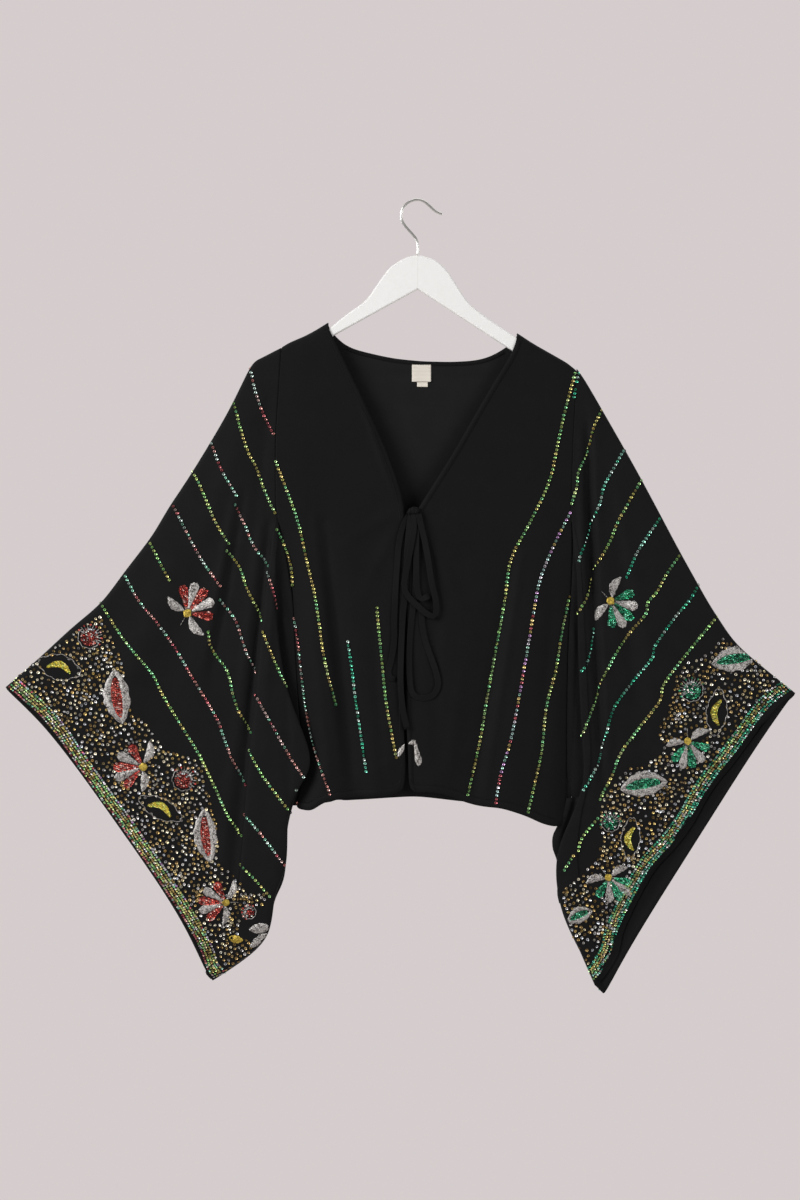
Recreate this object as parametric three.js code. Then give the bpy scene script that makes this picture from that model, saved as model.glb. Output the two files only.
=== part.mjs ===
// Tie-front sari blouse with kimono sleeves, hung on a flat wooden hanger. Millimetres.
// X runs to the viewer's right, Z runs up and the front of the blouse faces -Y.
// The origin is the inside top of the hook, where the rail that holds it bears.
import * as THREE from "three";

// Cloth and seams
const CLOTH_WALL = 1.2;
const SEAM_GAP = 0.3;
const SEAM_SLACK = 0.5;
const LABEL_WALL = 1.0;
const SIDE_REACH = 30;

// Grid sizes of the cloth sheets
const FRONT_COLUMNS = 13;
const SHOULDER_STEPS = 4;
const NECK_STEPS = 14;
const NECK_TURN = 1;
const ROLL_ANGLES = [0, 30, 60, 90];
const RINGS_PER_SECTION = 2;
const MAIN_STEPS = 8;
const STRIP_STEPS = 3;
const RECESS_STEPS = 6;
const REVERSE_STEPS = 12;

// Tie ribbons
const RIBBON_WIDTH = 8;
const RIBBON_THICKNESS = 2.4;
const RIBBON_HALF_SIDES = 4;
const RIBBON_STEP = 11;
const RIBBON_LAYER = 2.8;
const KNOT = { x: -5, z: -413, length: 15, height: 8, depth: 7, sides: 12 };
const KNOT_PROFILE = [
  { radius: 0, at: -1 },
  { radius: 0.55, at: -1 },
  { radius: 0.9, at: -0.6 },
  { radius: 1, at: 0 },
  { radius: 0.9, at: 0.6 },
  { radius: 0.55, at: 1 },
  { radius: 0, at: 1 },
];
const TIE_START = KNOT.z - KNOT.height / 2 - SEAM_GAP;

// Hanger, and the roll of the cloth's top edges over its arms
const HANGER_THICKNESS = 12;
const SHOULDER_ROLL_DROP = 7;
const SHOULDER_ROLL_DEPTH = HANGER_THICKNESS / 2 + SEAM_GAP + CLOTH_WALL / 2;
const HANGER_BEVEL = 3;
const HANGER_BEVEL_STEPS = 2;
const HANGER_CLEARANCE = 3.5;
const HOOK_WIRE = 3.5;
const HOOK_HALF_SIDES = 5;
const HOOK_STEPS = 42;

// Soft folds: the share of its height that a fold starts with, and of its length that it grows over
const FOLD_START = 0.15;
const FOLD_GROWTH = 0.35;

// Shape of a sleeve section. The pleat's heights are shares of its drop, the turned edge is in
// millimetres, and the eases are the shares of the front or the reverse that they act over.
const PLEAT = { steepest: 2, halfway: 0.45, returned: 0.12, stripTop: 0.08, turnOut: 1.2 };
const TURNED_EDGE = { corner: 1, cornerShare: 0.2, sink: 3 };
const EASE = { crown: 1 / 3, pleat: 1 / 4, underarm: 1 / 6, reverseTop: 1 / 3, backFolds: 1 / 5 };

// Colours: black crepe in its outer and shaded faces, cream label, painted wood, chromed wire
const CREPE = { color: 0x1d1d1d, roughness: 0.85, metalness: 0 };
const SLEEVE_CREPE = { color: 0x1f1f1f, roughness: 0.85, metalness: 0 };
const LINING_SIDE = { color: 0x222222, roughness: 0.9, metalness: 0 };
const LABEL_COTTON = { color: 0xe6e0d6, roughness: 0.9, metalness: 0 };
const PAINTED_WOOD = { color: 0xecebe9, roughness: 0.45, metalness: 0 };
const CHROMED_STEEL = { color: 0xc8c8c8, roughness: 0.15, metalness: 1 };

// Upper outline of the cloth on the hanger arms, from the neck point outwards.
const LEFT_SHOULDER = [
  { x: -118, z: -162.5 },
  { x: -143, z: -178 },
  { x: -169, z: -189 },
  { x: -186, z: -199 },
  { x: -207, z: -210 },
];
const RIGHT_SHOULDER = [
  { x: 133, z: -176.5 },
  { x: 155, z: -191 },
  { x: 178, z: -204 },
  { x: 199, z: -216 },
  { x: 213, z: -227 },
];

// Armhole seams with the side seams below them: depth of the front and back of the seam.
// The sleeve ends at the underarm, and the side seam runs on below it.
const LEFT_SEAM = [
  { z: -196, x: -181, front: 7, back: 7 },
  { z: -319, x: -189, front: 9, back: 9 },
  { z: -412, x: -189, front: 9, back: 9 },
  { z: -460, x: -177, front: 6, back: 8.5 },
  { z: -530, x: -165, front: 4, back: 7.5 },
  { z: -600, x: -163, front: 4, back: 7 },
  { z: -680, x: -158, front: 3.5, back: 5 },
  { z: -767, x: -149, front: 0.9, back: 0.9 },
  { z: -809, x: -166, front: 0.9, back: 0.9 },
];
const RIGHT_SEAM = [
  { z: -224, x: 213, front: 7, back: 7 },
  { z: -319, x: 208, front: 9, back: 9 },
  { z: -412, x: 205, front: 9, back: 9 },
  { z: -460, x: 208, front: 6, back: 8.5 },
  { z: -530, x: 205, front: 4, back: 7.5 },
  { z: -600, x: 201, front: 4, back: 7 },
  { z: -680, x: 200, front: 3.5, back: 5 },
  { z: -790, x: 200, front: 0.9, back: 0.9 },
  { z: -833, x: 199, front: 0.9, back: 0.9 },
];
const LEFT_UNDERARM = -767;
const RIGHT_UNDERARM = -790;

// Rows of the front panels: the neck or centre-front edge, and the height at the side edge.
// A row ends at every height of the seam.
const LEFT_FRONT_ROWS = [
  { edgeX: -113, edgeZ: -180, sideZ: -212 },
  { edgeX: -95, edgeZ: -218, sideZ: -250 },
  { edgeX: -74, edgeZ: -260, sideZ: -285 },
  { edgeX: -51, edgeZ: -309, sideZ: -319 },
  { edgeX: -34, edgeZ: -352, sideZ: -365 },
  { edgeX: -19, edgeZ: -395, sideZ: -412 },
  { edgeX: -15, edgeZ: -430, sideZ: -436 },
  { edgeX: -15, edgeZ: -462, sideZ: -460 },
  { edgeX: -16, edgeZ: -495, sideZ: -495 },
  { edgeX: -17, edgeZ: -535, sideZ: -530 },
  { edgeX: -18, edgeZ: -595, sideZ: -600 },
  { edgeX: -18, edgeZ: -665, sideZ: -680 },
  { edgeX: -18, edgeZ: -705, sideZ: -725 },
  { edgeX: -15, edgeZ: -745, sideZ: -767 },
  { edgeX: -16, edgeZ: -785, sideZ: -809 },
];
const RIGHT_FRONT_ROWS = [
  { edgeX: 128, edgeZ: -201, sideZ: -240 },
  { edgeX: 106, edgeZ: -236, sideZ: -268 },
  { edgeX: 82, edgeZ: -277, sideZ: -295 },
  { edgeX: 61, edgeZ: -314, sideZ: -319 },
  { edgeX: 43, edgeZ: -345, sideZ: -365 },
  { edgeX: 11, edgeZ: -395, sideZ: -412 },
  { edgeX: -11, edgeZ: -430, sideZ: -436 },
  { edgeX: -11, edgeZ: -462, sideZ: -460 },
  { edgeX: -12, edgeZ: -495, sideZ: -495 },
  { edgeX: -13, edgeZ: -535, sideZ: -530 },
  { edgeX: -14, edgeZ: -595, sideZ: -600 },
  { edgeX: -14, edgeZ: -665, sideZ: -680 },
  { edgeX: -14, edgeZ: -705, sideZ: -735 },
  { edgeX: -11, edgeZ: -745, sideZ: -790 },
  { edgeX: -12, edgeZ: -787, sideZ: -833 },
];

// How far the hem hangs below the straight line between its ends, along each panel.
const LEFT_HEM = [
  { at: 0, drop: 0 },
  { at: 0.15, drop: 4 },
  { at: 0.46, drop: -2 },
  { at: 0.67, drop: -3 },
  { at: 0.74, drop: -1 },
  { at: 0.83, drop: 8 },
  { at: 1, drop: 0 },
];
const RIGHT_HEM = [
  { at: 0, drop: 1 },
  { at: 0.2, drop: -9 },
  { at: 0.35, drop: -3 },
  { at: 0.45, drop: -1 },
  { at: 0.58, drop: -6 },
  { at: 0.74, drop: -3 },
  { at: 0.89, drop: 6 },
  { at: 1, drop: 0 },
];

// Top edge of the back panel between the neck points.
const BACK_NECK = [
  { x: -118, z: -162.5 },
  { x: -117, z: -171 },
  { x: -109, z: -186 },
  { x: -81, z: -198 },
  { x: -34, z: -209 },
  { x: 6, z: -213 },
  { x: 50, z: -214 },
  { x: 90, z: -211 },
  { x: 118, z: -196 },
  { x: 132, z: -185 },
  { x: 133, z: -176.5 },
];
const BACK_HEM = [
  { x: -168, z: -809 },
  { x: -90, z: -800 },
  { x: 0, z: -795 },
  { x: 100, z: -806 },
  { x: 199, z: -833 },
];
const BACK_ROWS = [
  { leftZ: -225, rightZ: -250 },
  { leftZ: -270, rightZ: -285 },
  { leftZ: -319, rightZ: -319 },
  { leftZ: -365, rightZ: -365 },
  { leftZ: -412, rightZ: -412 },
  { leftZ: -436, rightZ: -436 },
  { leftZ: -460, rightZ: -460 },
  { leftZ: -495, rightZ: -495 },
  { leftZ: -530, rightZ: -530 },
  { leftZ: -600, rightZ: -600 },
  { leftZ: -680, rightZ: -680 },
  { leftZ: -725, rightZ: -735 },
  { leftZ: -767, rightZ: -790 },
  { leftZ: -809, rightZ: -833 },
];

// Depth of the body's cloth in front of and behind the middle plane, by height.
const BODY_DEPTH = [
  { z: -165, front: 8, back: 8 },
  { z: -260, front: 9, back: 9 },
  { z: -420, front: 11, back: 12 },
  { z: -600, front: 14, back: 16 },
  { z: -840, front: 17, back: 20 },
];

// Soft folds as ridges (height above 0) and troughs, each along a line in the cloth's plane.
const FRONT_FOLDS = [
  { x1: -146, z1: -440, x2: -112, z2: -800, width: 13, height: 5 },
  { x1: -122, z1: -430, x2: -80, z2: -790, width: 13, height: -5 },
  { x1: -40, z1: -540, x2: -48, z2: -800, width: 18, height: 3 },
  { x1: 124, z1: -470, x2: 70, z2: -800, width: 14, height: -5 },
  { x1: 160, z1: -430, x2: 118, z2: -820, width: 18, height: 4 },
  { x1: 30, z1: -560, x2: 22, z2: -800, width: 16, height: 3 },
  { x1: 188, z1: -560, x2: 172, z2: -840, width: 10, height: 3 },
];
const BACK_FOLDS = [
  { x1: -140, z1: -420, x2: -118, z2: -820, width: 15, height: 5 },
  { x1: -90, z1: -470, x2: -74, z2: -820, width: 15, height: -5 },
  { x1: -20, z1: -520, x2: -12, z2: -820, width: 18, height: 4 },
  { x1: 52, z1: -480, x2: 60, z2: -820, width: 15, height: -4 },
  { x1: 118, z1: -430, x2: 112, z2: -820, width: 16, height: 5 },
  { x1: 168, z1: -500, x2: 160, z2: -820, width: 12, height: -4 },
];
const LEFT_SLEEVE_FOLDS = [
  { x1: -244, z1: -380, x2: -292, z2: -640, width: 9, height: 3.5 },
  { x1: -230, z1: -385, x2: -274, z2: -660, width: 8, height: -3.5 },
  { x1: -262, z1: -420, x2: -372, z2: -760, width: 16, height: -3 },
  { x1: -250, z1: -640, x2: -268, z2: -940, width: 12, height: 3 },
  { x1: -330, z1: -520, x2: -440, z2: -740, width: 20, height: 3 },
];
const RIGHT_SLEEVE_FOLDS = [
  { x1: 227, z1: -308, x2: 248, z2: -800, width: 9, height: -7 },
  { x1: 244, z1: -300, x2: 268, z2: -800, width: 11, height: 3.5 },
  { x1: 262, z1: -360, x2: 316, z2: -800, width: 14, height: -3 },
  { x1: 300, z1: -440, x2: 380, z2: -800, width: 18, height: 3 },
  { x1: 211, z1: -820, x2: 214, z2: -925, width: 8, height: -5 },
];
const SLEEVE_BACK_FOLDS = [
  { x1: 238, z1: -330, x2: 252, z2: -900, width: 11, height: -6 },
  { x1: 262, z1: -340, x2: 292, z2: -880, width: 13, height: 4 },
  { x1: 290, z1: -400, x2: 372, z2: -830, width: 16, height: -3 },
];

// Sleeve sections from the armhole seam to the cuff. Each section runs down the front from
// the top fold to the pleat, across the strip that lies on the pleat to the sleeve's inner
// edge, back under that edge to the underarm fold, and up the reverse to the top fold.
// drop is how far the section slips down inside the pleat, under how far it turns back
// below the strip. main, strip and turned are the depths of those layers in front of the
// middle plane, reverse is the depth of the back layer, and bow and backBow bend the section
// towards the armhole.
const LEFT_SLEEVE = [
  { topX: -181, topZ: -196, pleatX: -189, pleatZ: -412, drop: 6, edgeX: -188, edgeZ: -436,
    under: 0, foldX: -149, foldZ: -767, main: 9, strip: 9, turned: 7, reverse: 9, bow: 0, backBow: 0 },
  { topX: -207, topZ: -209.5, pleatX: -192, pleatZ: -448, drop: 7, edgeX: -187, edgeZ: -478,
    under: 2, foldX: -156, foldZ: -774, main: 9, strip: 13, turned: 6.5, reverse: 9.5, bow: 0, backBow: -10 },
  { topX: -222, topZ: -221, pleatX: -194, pleatZ: -465, drop: 8, edgeX: -187, edgeZ: -500,
    under: 4, foldX: -159, foldZ: -779, main: 9, strip: 14, turned: 6.5, reverse: 10, bow: 0, backBow: -6 },
  { topX: -250, topZ: -279, pleatX: -197, pleatZ: -486, drop: 10, edgeX: -187, edgeZ: -543,
    under: 6, foldX: -164, foldZ: -788, main: 10, strip: 15, turned: 6.5, reverse: 10, bow: 0, backBow: 0 },
  { topX: -299, topZ: -361, pleatX: -206, pleatZ: -559, drop: 16, edgeX: -174, edgeZ: -647,
    under: 8, foldX: -171, foldZ: -806, main: 10, strip: 17, turned: 10, reverse: 10, bow: 0, backBow: 0 },
  { topX: -327, topZ: -403, pleatX: -213, pleatZ: -632, drop: 26, edgeX: -139, edgeZ: -734,
    under: 12, foldX: -173, foldZ: -822, main: 10, strip: 22, turned: 17, reverse: 10, bow: 1, backBow: 1 },
  { topX: -342, topZ: -428, pleatX: -217, pleatZ: -670, drop: 26, edgeX: -151, edgeZ: -770,
    under: 12, foldX: -173, foldZ: -836, main: 10, strip: 21, turned: 16.5, reverse: 10, bow: 2, backBow: 2 },
  { topX: -357, topZ: -452, pleatX: -221, pleatZ: -708, drop: 26, edgeX: -171, edgeZ: -809,
    under: 8, foldX: -173, foldZ: -850, main: 10, strip: 17, turned: 9, reverse: 10, bow: 3, backBow: 3 },
  { topX: -391, topZ: -496, pleatX: -228, pleatZ: -777, drop: 40, edgeX: -172, edgeZ: -880,
    under: 6, foldX: -176, foldZ: -904, main: 10, strip: 16, turned: 8, reverse: 9, bow: 5, backBow: 6 },
  { topX: -421, topZ: -536, pleatX: -233, pleatZ: -845, drop: 39, edgeX: -189, edgeZ: -922,
    under: 3, foldX: -191, foldZ: -934, main: 9.5, strip: 15, turned: 6, reverse: 8, bow: 8, backBow: 9 },
  { topX: -459, topZ: -568, pleatX: -238, pleatZ: -905, drop: 34, edgeX: -195, edgeZ: -968,
    under: 2, foldX: -197, foldZ: -975, main: 9, strip: 14, turned: 5, reverse: 7, bow: 11, backBow: 12 },
  { topX: -503, topZ: -609, pleatX: -244, pleatZ: -962, drop: 22, edgeX: -221, edgeZ: -1001,
    under: 1, foldX: -223, foldZ: -1006, main: 8, strip: 13, turned: 4, reverse: 7, bow: 14, backBow: 15 },
  { topX: -548, topZ: -648, pleatX: -282, pleatZ: -1024, drop: 4, edgeX: -275, edgeZ: -1035,
    under: 0, foldX: -273, foldZ: -1040, main: 7, strip: 8, turned: 4, reverse: 6, bow: 16, backBow: 17 },
];
const RIGHT_SLEEVE = [
  { topX: 213, topZ: -224, pleatX: 206, pleatZ: -412, drop: 6, edgeX: 206, edgeZ: -436,
    under: 0, foldX: 200, foldZ: -790, main: 9, strip: 9, turned: 7, reverse: 9, bow: 0, backBow: 0 },
  { topX: 224, topZ: -240, pleatX: 211, pleatZ: -440, drop: 6, edgeX: 209, edgeZ: -468,
    under: 2, foldX: 204, foldZ: -798, main: 9, strip: 10, turned: 6.5, reverse: 9.5, bow: 0, backBow: 0 },
  { topX: 245, topZ: -276, pleatX: 216, pleatZ: -470, drop: 6, edgeX: 213, edgeZ: -505,
    under: 4, foldX: 204.5, foldZ: -804, main: 10, strip: 11, turned: 6, reverse: 10, bow: 0, backBow: 0 },
  { topX: 289, topZ: -353, pleatX: 221, pleatZ: -545, drop: 6, edgeX: 214, edgeZ: -590,
    under: 5, foldX: 205, foldZ: -812, main: 10, strip: 11.5, turned: 5.5, reverse: 10, bow: 0, backBow: 0 },
  { topX: 325, topZ: -420, pleatX: 224, pleatZ: -612, drop: 6, edgeX: 216, edgeZ: -652,
    under: 6, foldX: 205, foldZ: -820, main: 10, strip: 12, turned: 5, reverse: 10, bow: 0, backBow: 0 },
  { topX: 351, topZ: -469, pleatX: 227, pleatZ: -680, drop: 6, edgeX: 219, edgeZ: -714,
    under: 6, foldX: 204.5, foldZ: -829, main: 10, strip: 12, turned: 5, reverse: 10, bow: 2, backBow: 1 },
  { topX: 375, topZ: -512, pleatX: 230, pleatZ: -748, drop: 6, edgeX: 221, edgeZ: -778,
    under: 6, foldX: 203, foldZ: -840, main: 10, strip: 12, turned: 5, reverse: 10, bow: 5, backBow: 2 },
  { topX: 388, topZ: -535, pleatX: 219, pleatZ: -800, drop: 6, edgeX: 196, edgeZ: -839,
    under: 3, foldX: 192, foldZ: -852, main: 10, strip: 12, turned: 5, reverse: 10, bow: 7, backBow: 3 },
  { topX: 404, topZ: -560, pleatX: 212, pleatZ: -850, drop: 5, edgeX: 185, edgeZ: -878,
    under: 2, foldX: 186, foldZ: -888, main: 10, strip: 12, turned: 5, reverse: 9, bow: 9, backBow: 4 },
  { topX: 426, topZ: -591, pleatX: 214, pleatZ: -895, drop: 5, edgeX: 188, edgeZ: -926,
    under: 2, foldX: 190, foldZ: -935, main: 9.5, strip: 11.5, turned: 5, reverse: 8, bow: 11, backBow: 5 },
  { topX: 464, topZ: -624, pleatX: 222, pleatZ: -948, drop: 4, edgeX: 206, edgeZ: -972,
    under: 1, foldX: 207, foldZ: -981, main: 8.5, strip: 10, turned: 4, reverse: 8, bow: 15, backBow: 5 },
  { topX: 504, topZ: -656, pleatX: 247, pleatZ: -1018, drop: 3, edgeX: 237, edgeZ: -1043,
    under: 0, foldX: 250, foldZ: -1058, main: 7, strip: 8, turned: 2, reverse: 6, bow: 20, backBow: 5 },
];

// Tie ribbons: the line that each follows on the fronts, and the layer that it lies in.
const RIBBONS = [
  { name: "tie_loop_low", layer: 1, points: [
    [-3, TIE_START], [-3, -440], [-2, -464], [-2, -515], [-7, -555], [-10, -596], [-10, -632], [-7, -654],
    [4, -662], [20, -659], [28, -645], [25, -627], [18, -607], [11, -586], [7, -565], [6, -545]] },
  { name: "tie_loop_left", layer: 1, points: [
    [-11, TIE_START], [-18, -432], [-22, -446], [-25, -465], [-27, -494], [-29, -527], [-30, -559],
    [-30, -585], [-34, -610], [-38, -626], [-36, -635], [-29, -637]] },
  { name: "tie_tail_long", layer: 2, points: [
    [-9, TIE_START], [-12, -450], [-14, -485], [-16, -523], [-19, -555], [-21, -596], [-22, -637],
    [-20, -668], [-17, -687], [-13, -703]] },
  { name: "tie_tail_short", layer: 2, points: [
    [-1, TIE_START], [-1, -450], [-1, -485], [0, -515], [4, -530], [10, -529], [16, -526]] },
  { name: "tie_loop_front", layer: 3, points: [
    [-5, TIE_START], [-4, -436], [-9, -466], [-15, -497], [-17, -514], [-12, -527], [1, -540],
    [14, -551], [23, -553], [26, -543], [24, -528], [19, -507], [15, -480], [10, -453], [5, -432],
    [2, TIE_START]] },
];

// Hanger outline: upper edge of the wood at the neck, and the arm ends under the cloth.
const HANGER_CROWN = [
  { x: -118, z: -169.5 },
  { x: -102, z: -157 },
  { x: -89, z: -147 },
  { x: -80, z: -141 },
  { x: -71, z: -134 },
  { x: -63, z: -125 },
  { x: -55, z: -113 },
  { x: -46, z: -100 },
  { x: -37, z: -89 },
  { x: -29, z: -83 },
  { x: -21, z: -78 },
  { x: -12, z: -74 },
  { x: 1, z: -72 },
  { x: 12, z: -74 },
  { x: 22, z: -77 },
  { x: 31, z: -83 },
  { x: 39, z: -91 },
  { x: 46, z: -100 },
  { x: 54, z: -113 },
  { x: 63, z: -127 },
  { x: 71, z: -137 },
  { x: 80, z: -145 },
  { x: 92, z: -154 },
  { x: 109, z: -165.5 },
  { x: 133, z: -181.5 },
];
const LEFT_ARM_END = [
  { x: -205, z: -212.5 },
  { x: -212, z: -219 },
  { x: -213, z: -229 },
  { x: -208, z: -234 },
];
const RIGHT_ARM_END = [
  { x: 199, z: -248 },
  { x: 206, z: -243 },
  { x: 207, z: -233 },
  { x: 201, z: -221 },
];
const HANGER_APEX = { x: 1, z: -119 };

// Centre line of the hook wire, from the wood up to the tip.
const HOOK_PATH = [
  [1, -71.5], [1, -60], [-1, -51], [-8, -42], [-16, -33], [-20.5, -25], [-21, -17], [-18.5, -9],
  [-12.5, -2.5], [-5, 1], [2, 1.7], [9, -0.5], [16, -6], [23, -12.5], [29, -16], [34, -17.5],
];

// Label at the back neck with the size tab below it, both without lettering.
const LABEL = { left: -8, right: 20, top: -217, bottom: -241.5, columns: 5, rows: 4 };
const LABEL_TAB = { left: -1, right: 16, top: -242, bottom: -248.5, columns: 4, rows: 3 };

// Value of one named column at a place along a table, straight between its rows.
function along(table, key, place, value) {
  const rising = table[table.length - 1][key] > table[0][key];
  const sign = rising ? 1 : -1;
  const upper = table.findIndex((row) => sign * row[key] >= sign * place);
  if (upper === 0) return table[0][value];
  if (upper < 0) return table[table.length - 1][value];
  const from = table[upper - 1];
  const to = table[upper];
  const share = (place - from[key]) / (to[key] - from[key]);
  return THREE.MathUtils.lerp(from[value], to[value], share);
}

// Line of points between two lines of a list, on smooth curves through all the lines.
function smoothLine(lines, place) {
  const last = lines.length - 1;
  const low = Math.min(Math.floor(place), last - 1);
  const [a, b, c, d] = [low - 1, low, low + 1, low + 2]
    .map((index) => lines[Math.min(Math.max(index, 0), last)]);
  const blend = (axis, j) => {
    const values = [a[j], b[j], c[j], d[j]].map((point) => point[axis]);
    return smoothStep(values, place - low);
  };
  return b.map((_, j) => new THREE.Vector3(blend("x", j), blend("y", j), blend("z", j)));
}

// Value between the middle two of four values, on the cubic through them.
function smoothStep([a, b, c, d], share) {
  const curve = (2 * a - 5 * b + 4 * c - d) * share + (3 * b - a - 3 * c + d) * share * share;
  return b + (share / 2) * (c - a + curve);
}

// Height of the soft folds at a place, positive towards the outside of the garment.
function foldHeight(folds, x, z) {
  let height = 0;
  for (const fold of folds) {
    const runX = fold.x2 - fold.x1;
    const runZ = fold.z2 - fold.z1;
    const share = ((x - fold.x1) * runX + (z - fold.z1) * runZ) / (runX * runX + runZ * runZ);
    const nearest = THREE.MathUtils.clamp(share, 0, 1);
    const apart = Math.abs((x - fold.x1) * runZ - (z - fold.z1) * runX) / Math.hypot(runX, runZ);
    const beyond = Math.abs(share - nearest) * Math.hypot(runX, runZ);
    const grow = THREE.MathUtils.smoothstep(nearest, 0, FOLD_GROWTH);
    const spread = (apart * apart + beyond * beyond) / (fold.width * fold.width);
    height += fold.height * THREE.MathUtils.lerp(FOLD_START, 1, grow) * Math.exp(-spread);
  }
  return height;
}

// Depth of a body panel's cloth, easing to its seam's depth near the side edge.
function bodyDepth(x, z, side) {
  const folds = side === "front" ? FRONT_FOLDS : BACK_FOLDS;
  const open = along(BODY_DEPTH, "z", z, side) + foldHeight(folds, x, z);
  const seam = x < 0 ? LEFT_SEAM : RIGHT_SEAM;
  const apart = Math.abs(along(seam, "z", z, "x") - x);
  const ease = THREE.MathUtils.smoothstep(apart, 0, SIDE_REACH);
  return THREE.MathUtils.lerp(along(seam, "z", z, side), open, ease);
}

// Closed body from a grid of points on the middle of a cloth wall. A closed grid's rows are
// rings. seamRims names the rims that keep their end faces square to an axis.
function clothShell(grid, wall, { ring = false, seamRims = {} } = {}) {
  const rows = grid.length;
  const columns = grid[0].length;
  const wrap = (index) => (index + columns) % columns;
  const clampRow = (index) => Math.min(Math.max(index, 0), rows - 1);
  const clampColumn = (index) => (ring ? wrap(index) : Math.min(Math.max(index, 0), columns - 1));
  const positions = [];
  for (const sign of [1, -1]) {
    for (let i = 0; i < rows; i += 1) {
      for (let j = 0; j < columns; j += 1) {
        const down = grid[clampRow(i + 1)][j].clone().sub(grid[clampRow(i - 1)][j]);
        const across = grid[i][clampColumn(j + 1)].clone().sub(grid[i][clampColumn(j - 1)]);
        const normal = down.cross(across);
        if (i === 0 && seamRims.first) normal[seamRims.first] = 0;
        if (i === rows - 1 && seamRims.last) normal[seamRims.last] = 0;
        if (!ring && j === 0 && seamRims.start) normal[seamRims.start] = 0;
        if (!ring && j === columns - 1 && seamRims.end) normal[seamRims.end] = 0;
        normal.normalize();
        positions.push(...grid[i][j].clone().addScaledVector(normal, (sign * wall) / 2).toArray());
      }
    }
  }
  const outer = (i, j) => i * columns + (ring ? wrap(j) : j);
  const inner = (i, j) => rows * columns + outer(i, j);
  const triangles = [];
  const quad = (a, b, c, d) => triangles.push(a, b, c, a, c, d);
  const lastColumn = ring ? columns : columns - 1;
  for (let i = 0; i < rows - 1; i += 1) {
    for (let j = 0; j < lastColumn; j += 1) {
      quad(outer(i, j), outer(i + 1, j), outer(i + 1, j + 1), outer(i, j + 1));
      quad(inner(i, j), inner(i, j + 1), inner(i + 1, j + 1), inner(i + 1, j));
    }
  }
  for (let j = 0; j < lastColumn; j += 1) {
    quad(outer(0, j), outer(0, j + 1), inner(0, j + 1), inner(0, j));
    quad(outer(rows - 1, j + 1), outer(rows - 1, j), inner(rows - 1, j), inner(rows - 1, j + 1));
  }
  if (!ring) {
    for (let i = 0; i < rows - 1; i += 1) {
      quad(outer(i + 1, 0), outer(i, 0), inner(i, 0), inner(i + 1, 0));
      const end = columns - 1;
      quad(outer(i, end), outer(i + 1, end), inner(i + 1, end), inner(i, end));
    }
  }
  const geometry = new THREE.BufferGeometry();
  geometry.setAttribute("position", new THREE.Float32BufferAttribute(positions, 3));
  geometry.setIndex(facesOut(positions, triangles) ? triangles : triangles.reverse());
  geometry.computeVertexNormals();
  return geometry;
}

// Whether a closed body's triangles face outwards, by the sign of its volume.
function facesOut(positions, triangles) {
  const corner = (index) => new THREE.Vector3().fromArray(positions, index * 3);
  let volume = 0;
  for (let t = 0; t < triangles.length; t += 3) {
    const [a, b, c] = [corner(triangles[t]), corner(triangles[t + 1]), corner(triangles[t + 2])];
    volume += a.dot(b.cross(c));
  }
  return volume > 0;
}

// Rows of a panel's top edge as it rolls over the hanger arm, from the shoulder seam down.
function shoulderRoll(topX, topZ, facing) {
  return ROLL_ANGLES.map((angle) => {
    const turn = THREE.MathUtils.degToRad(angle);
    const gap = (CLOTH_WALL + SEAM_GAP) / 2;
    const depth = Math.max(gap, SHOULDER_ROLL_DEPTH * Math.sin(turn));
    const z = topZ - SHOULDER_ROLL_DROP * (1 - Math.cos(turn));
    return new THREE.Vector3(topX, facing * depth, z);
  });
}

// Front panel from the shoulder seam to the hem, and from the neck edge to the side edge.
function frontPanel({ rows, hem, shoulder, seam }) {
  const seamShift = Math.sign(shoulder[0].x - seam[0].x) * (SEAM_GAP + SEAM_SLACK);
  const grid = ROLL_ANGLES.map(() => []);
  for (let j = 0; j < FRONT_COLUMNS; j += 1) {
    const share = j / (FRONT_COLUMNS - 1);
    const topX = THREE.MathUtils.lerp(shoulder[0].x, seam[0].x + seamShift, share);
    const roll = shoulderRoll(topX, along(shoulder, "x", topX, "z"), -1);
    roll.forEach((point, index) => grid[index].push(point));
  }
  rows.forEach((row, index) => {
    const sideX = along(seam, "z", row.sideZ, "x") + seamShift;
    const last = index === rows.length - 1;
    const points = [];
    for (let j = 0; j < FRONT_COLUMNS; j += 1) {
      const share = j / (FRONT_COLUMNS - 1);
      const x = THREE.MathUtils.lerp(row.edgeX, sideX, share);
      const lift = last ? along(hem, "at", share, "drop") : 0;
      const z = THREE.MathUtils.lerp(row.edgeZ, row.sideZ, share) - lift;
      points.push(new THREE.Vector3(x, -bodyDepth(x, z, "front"), z));
    }
    grid.push(points);
  });
  return clothShell(grid, CLOTH_WALL, { seamRims: { first: "y", end: "x" } });
}

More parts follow.
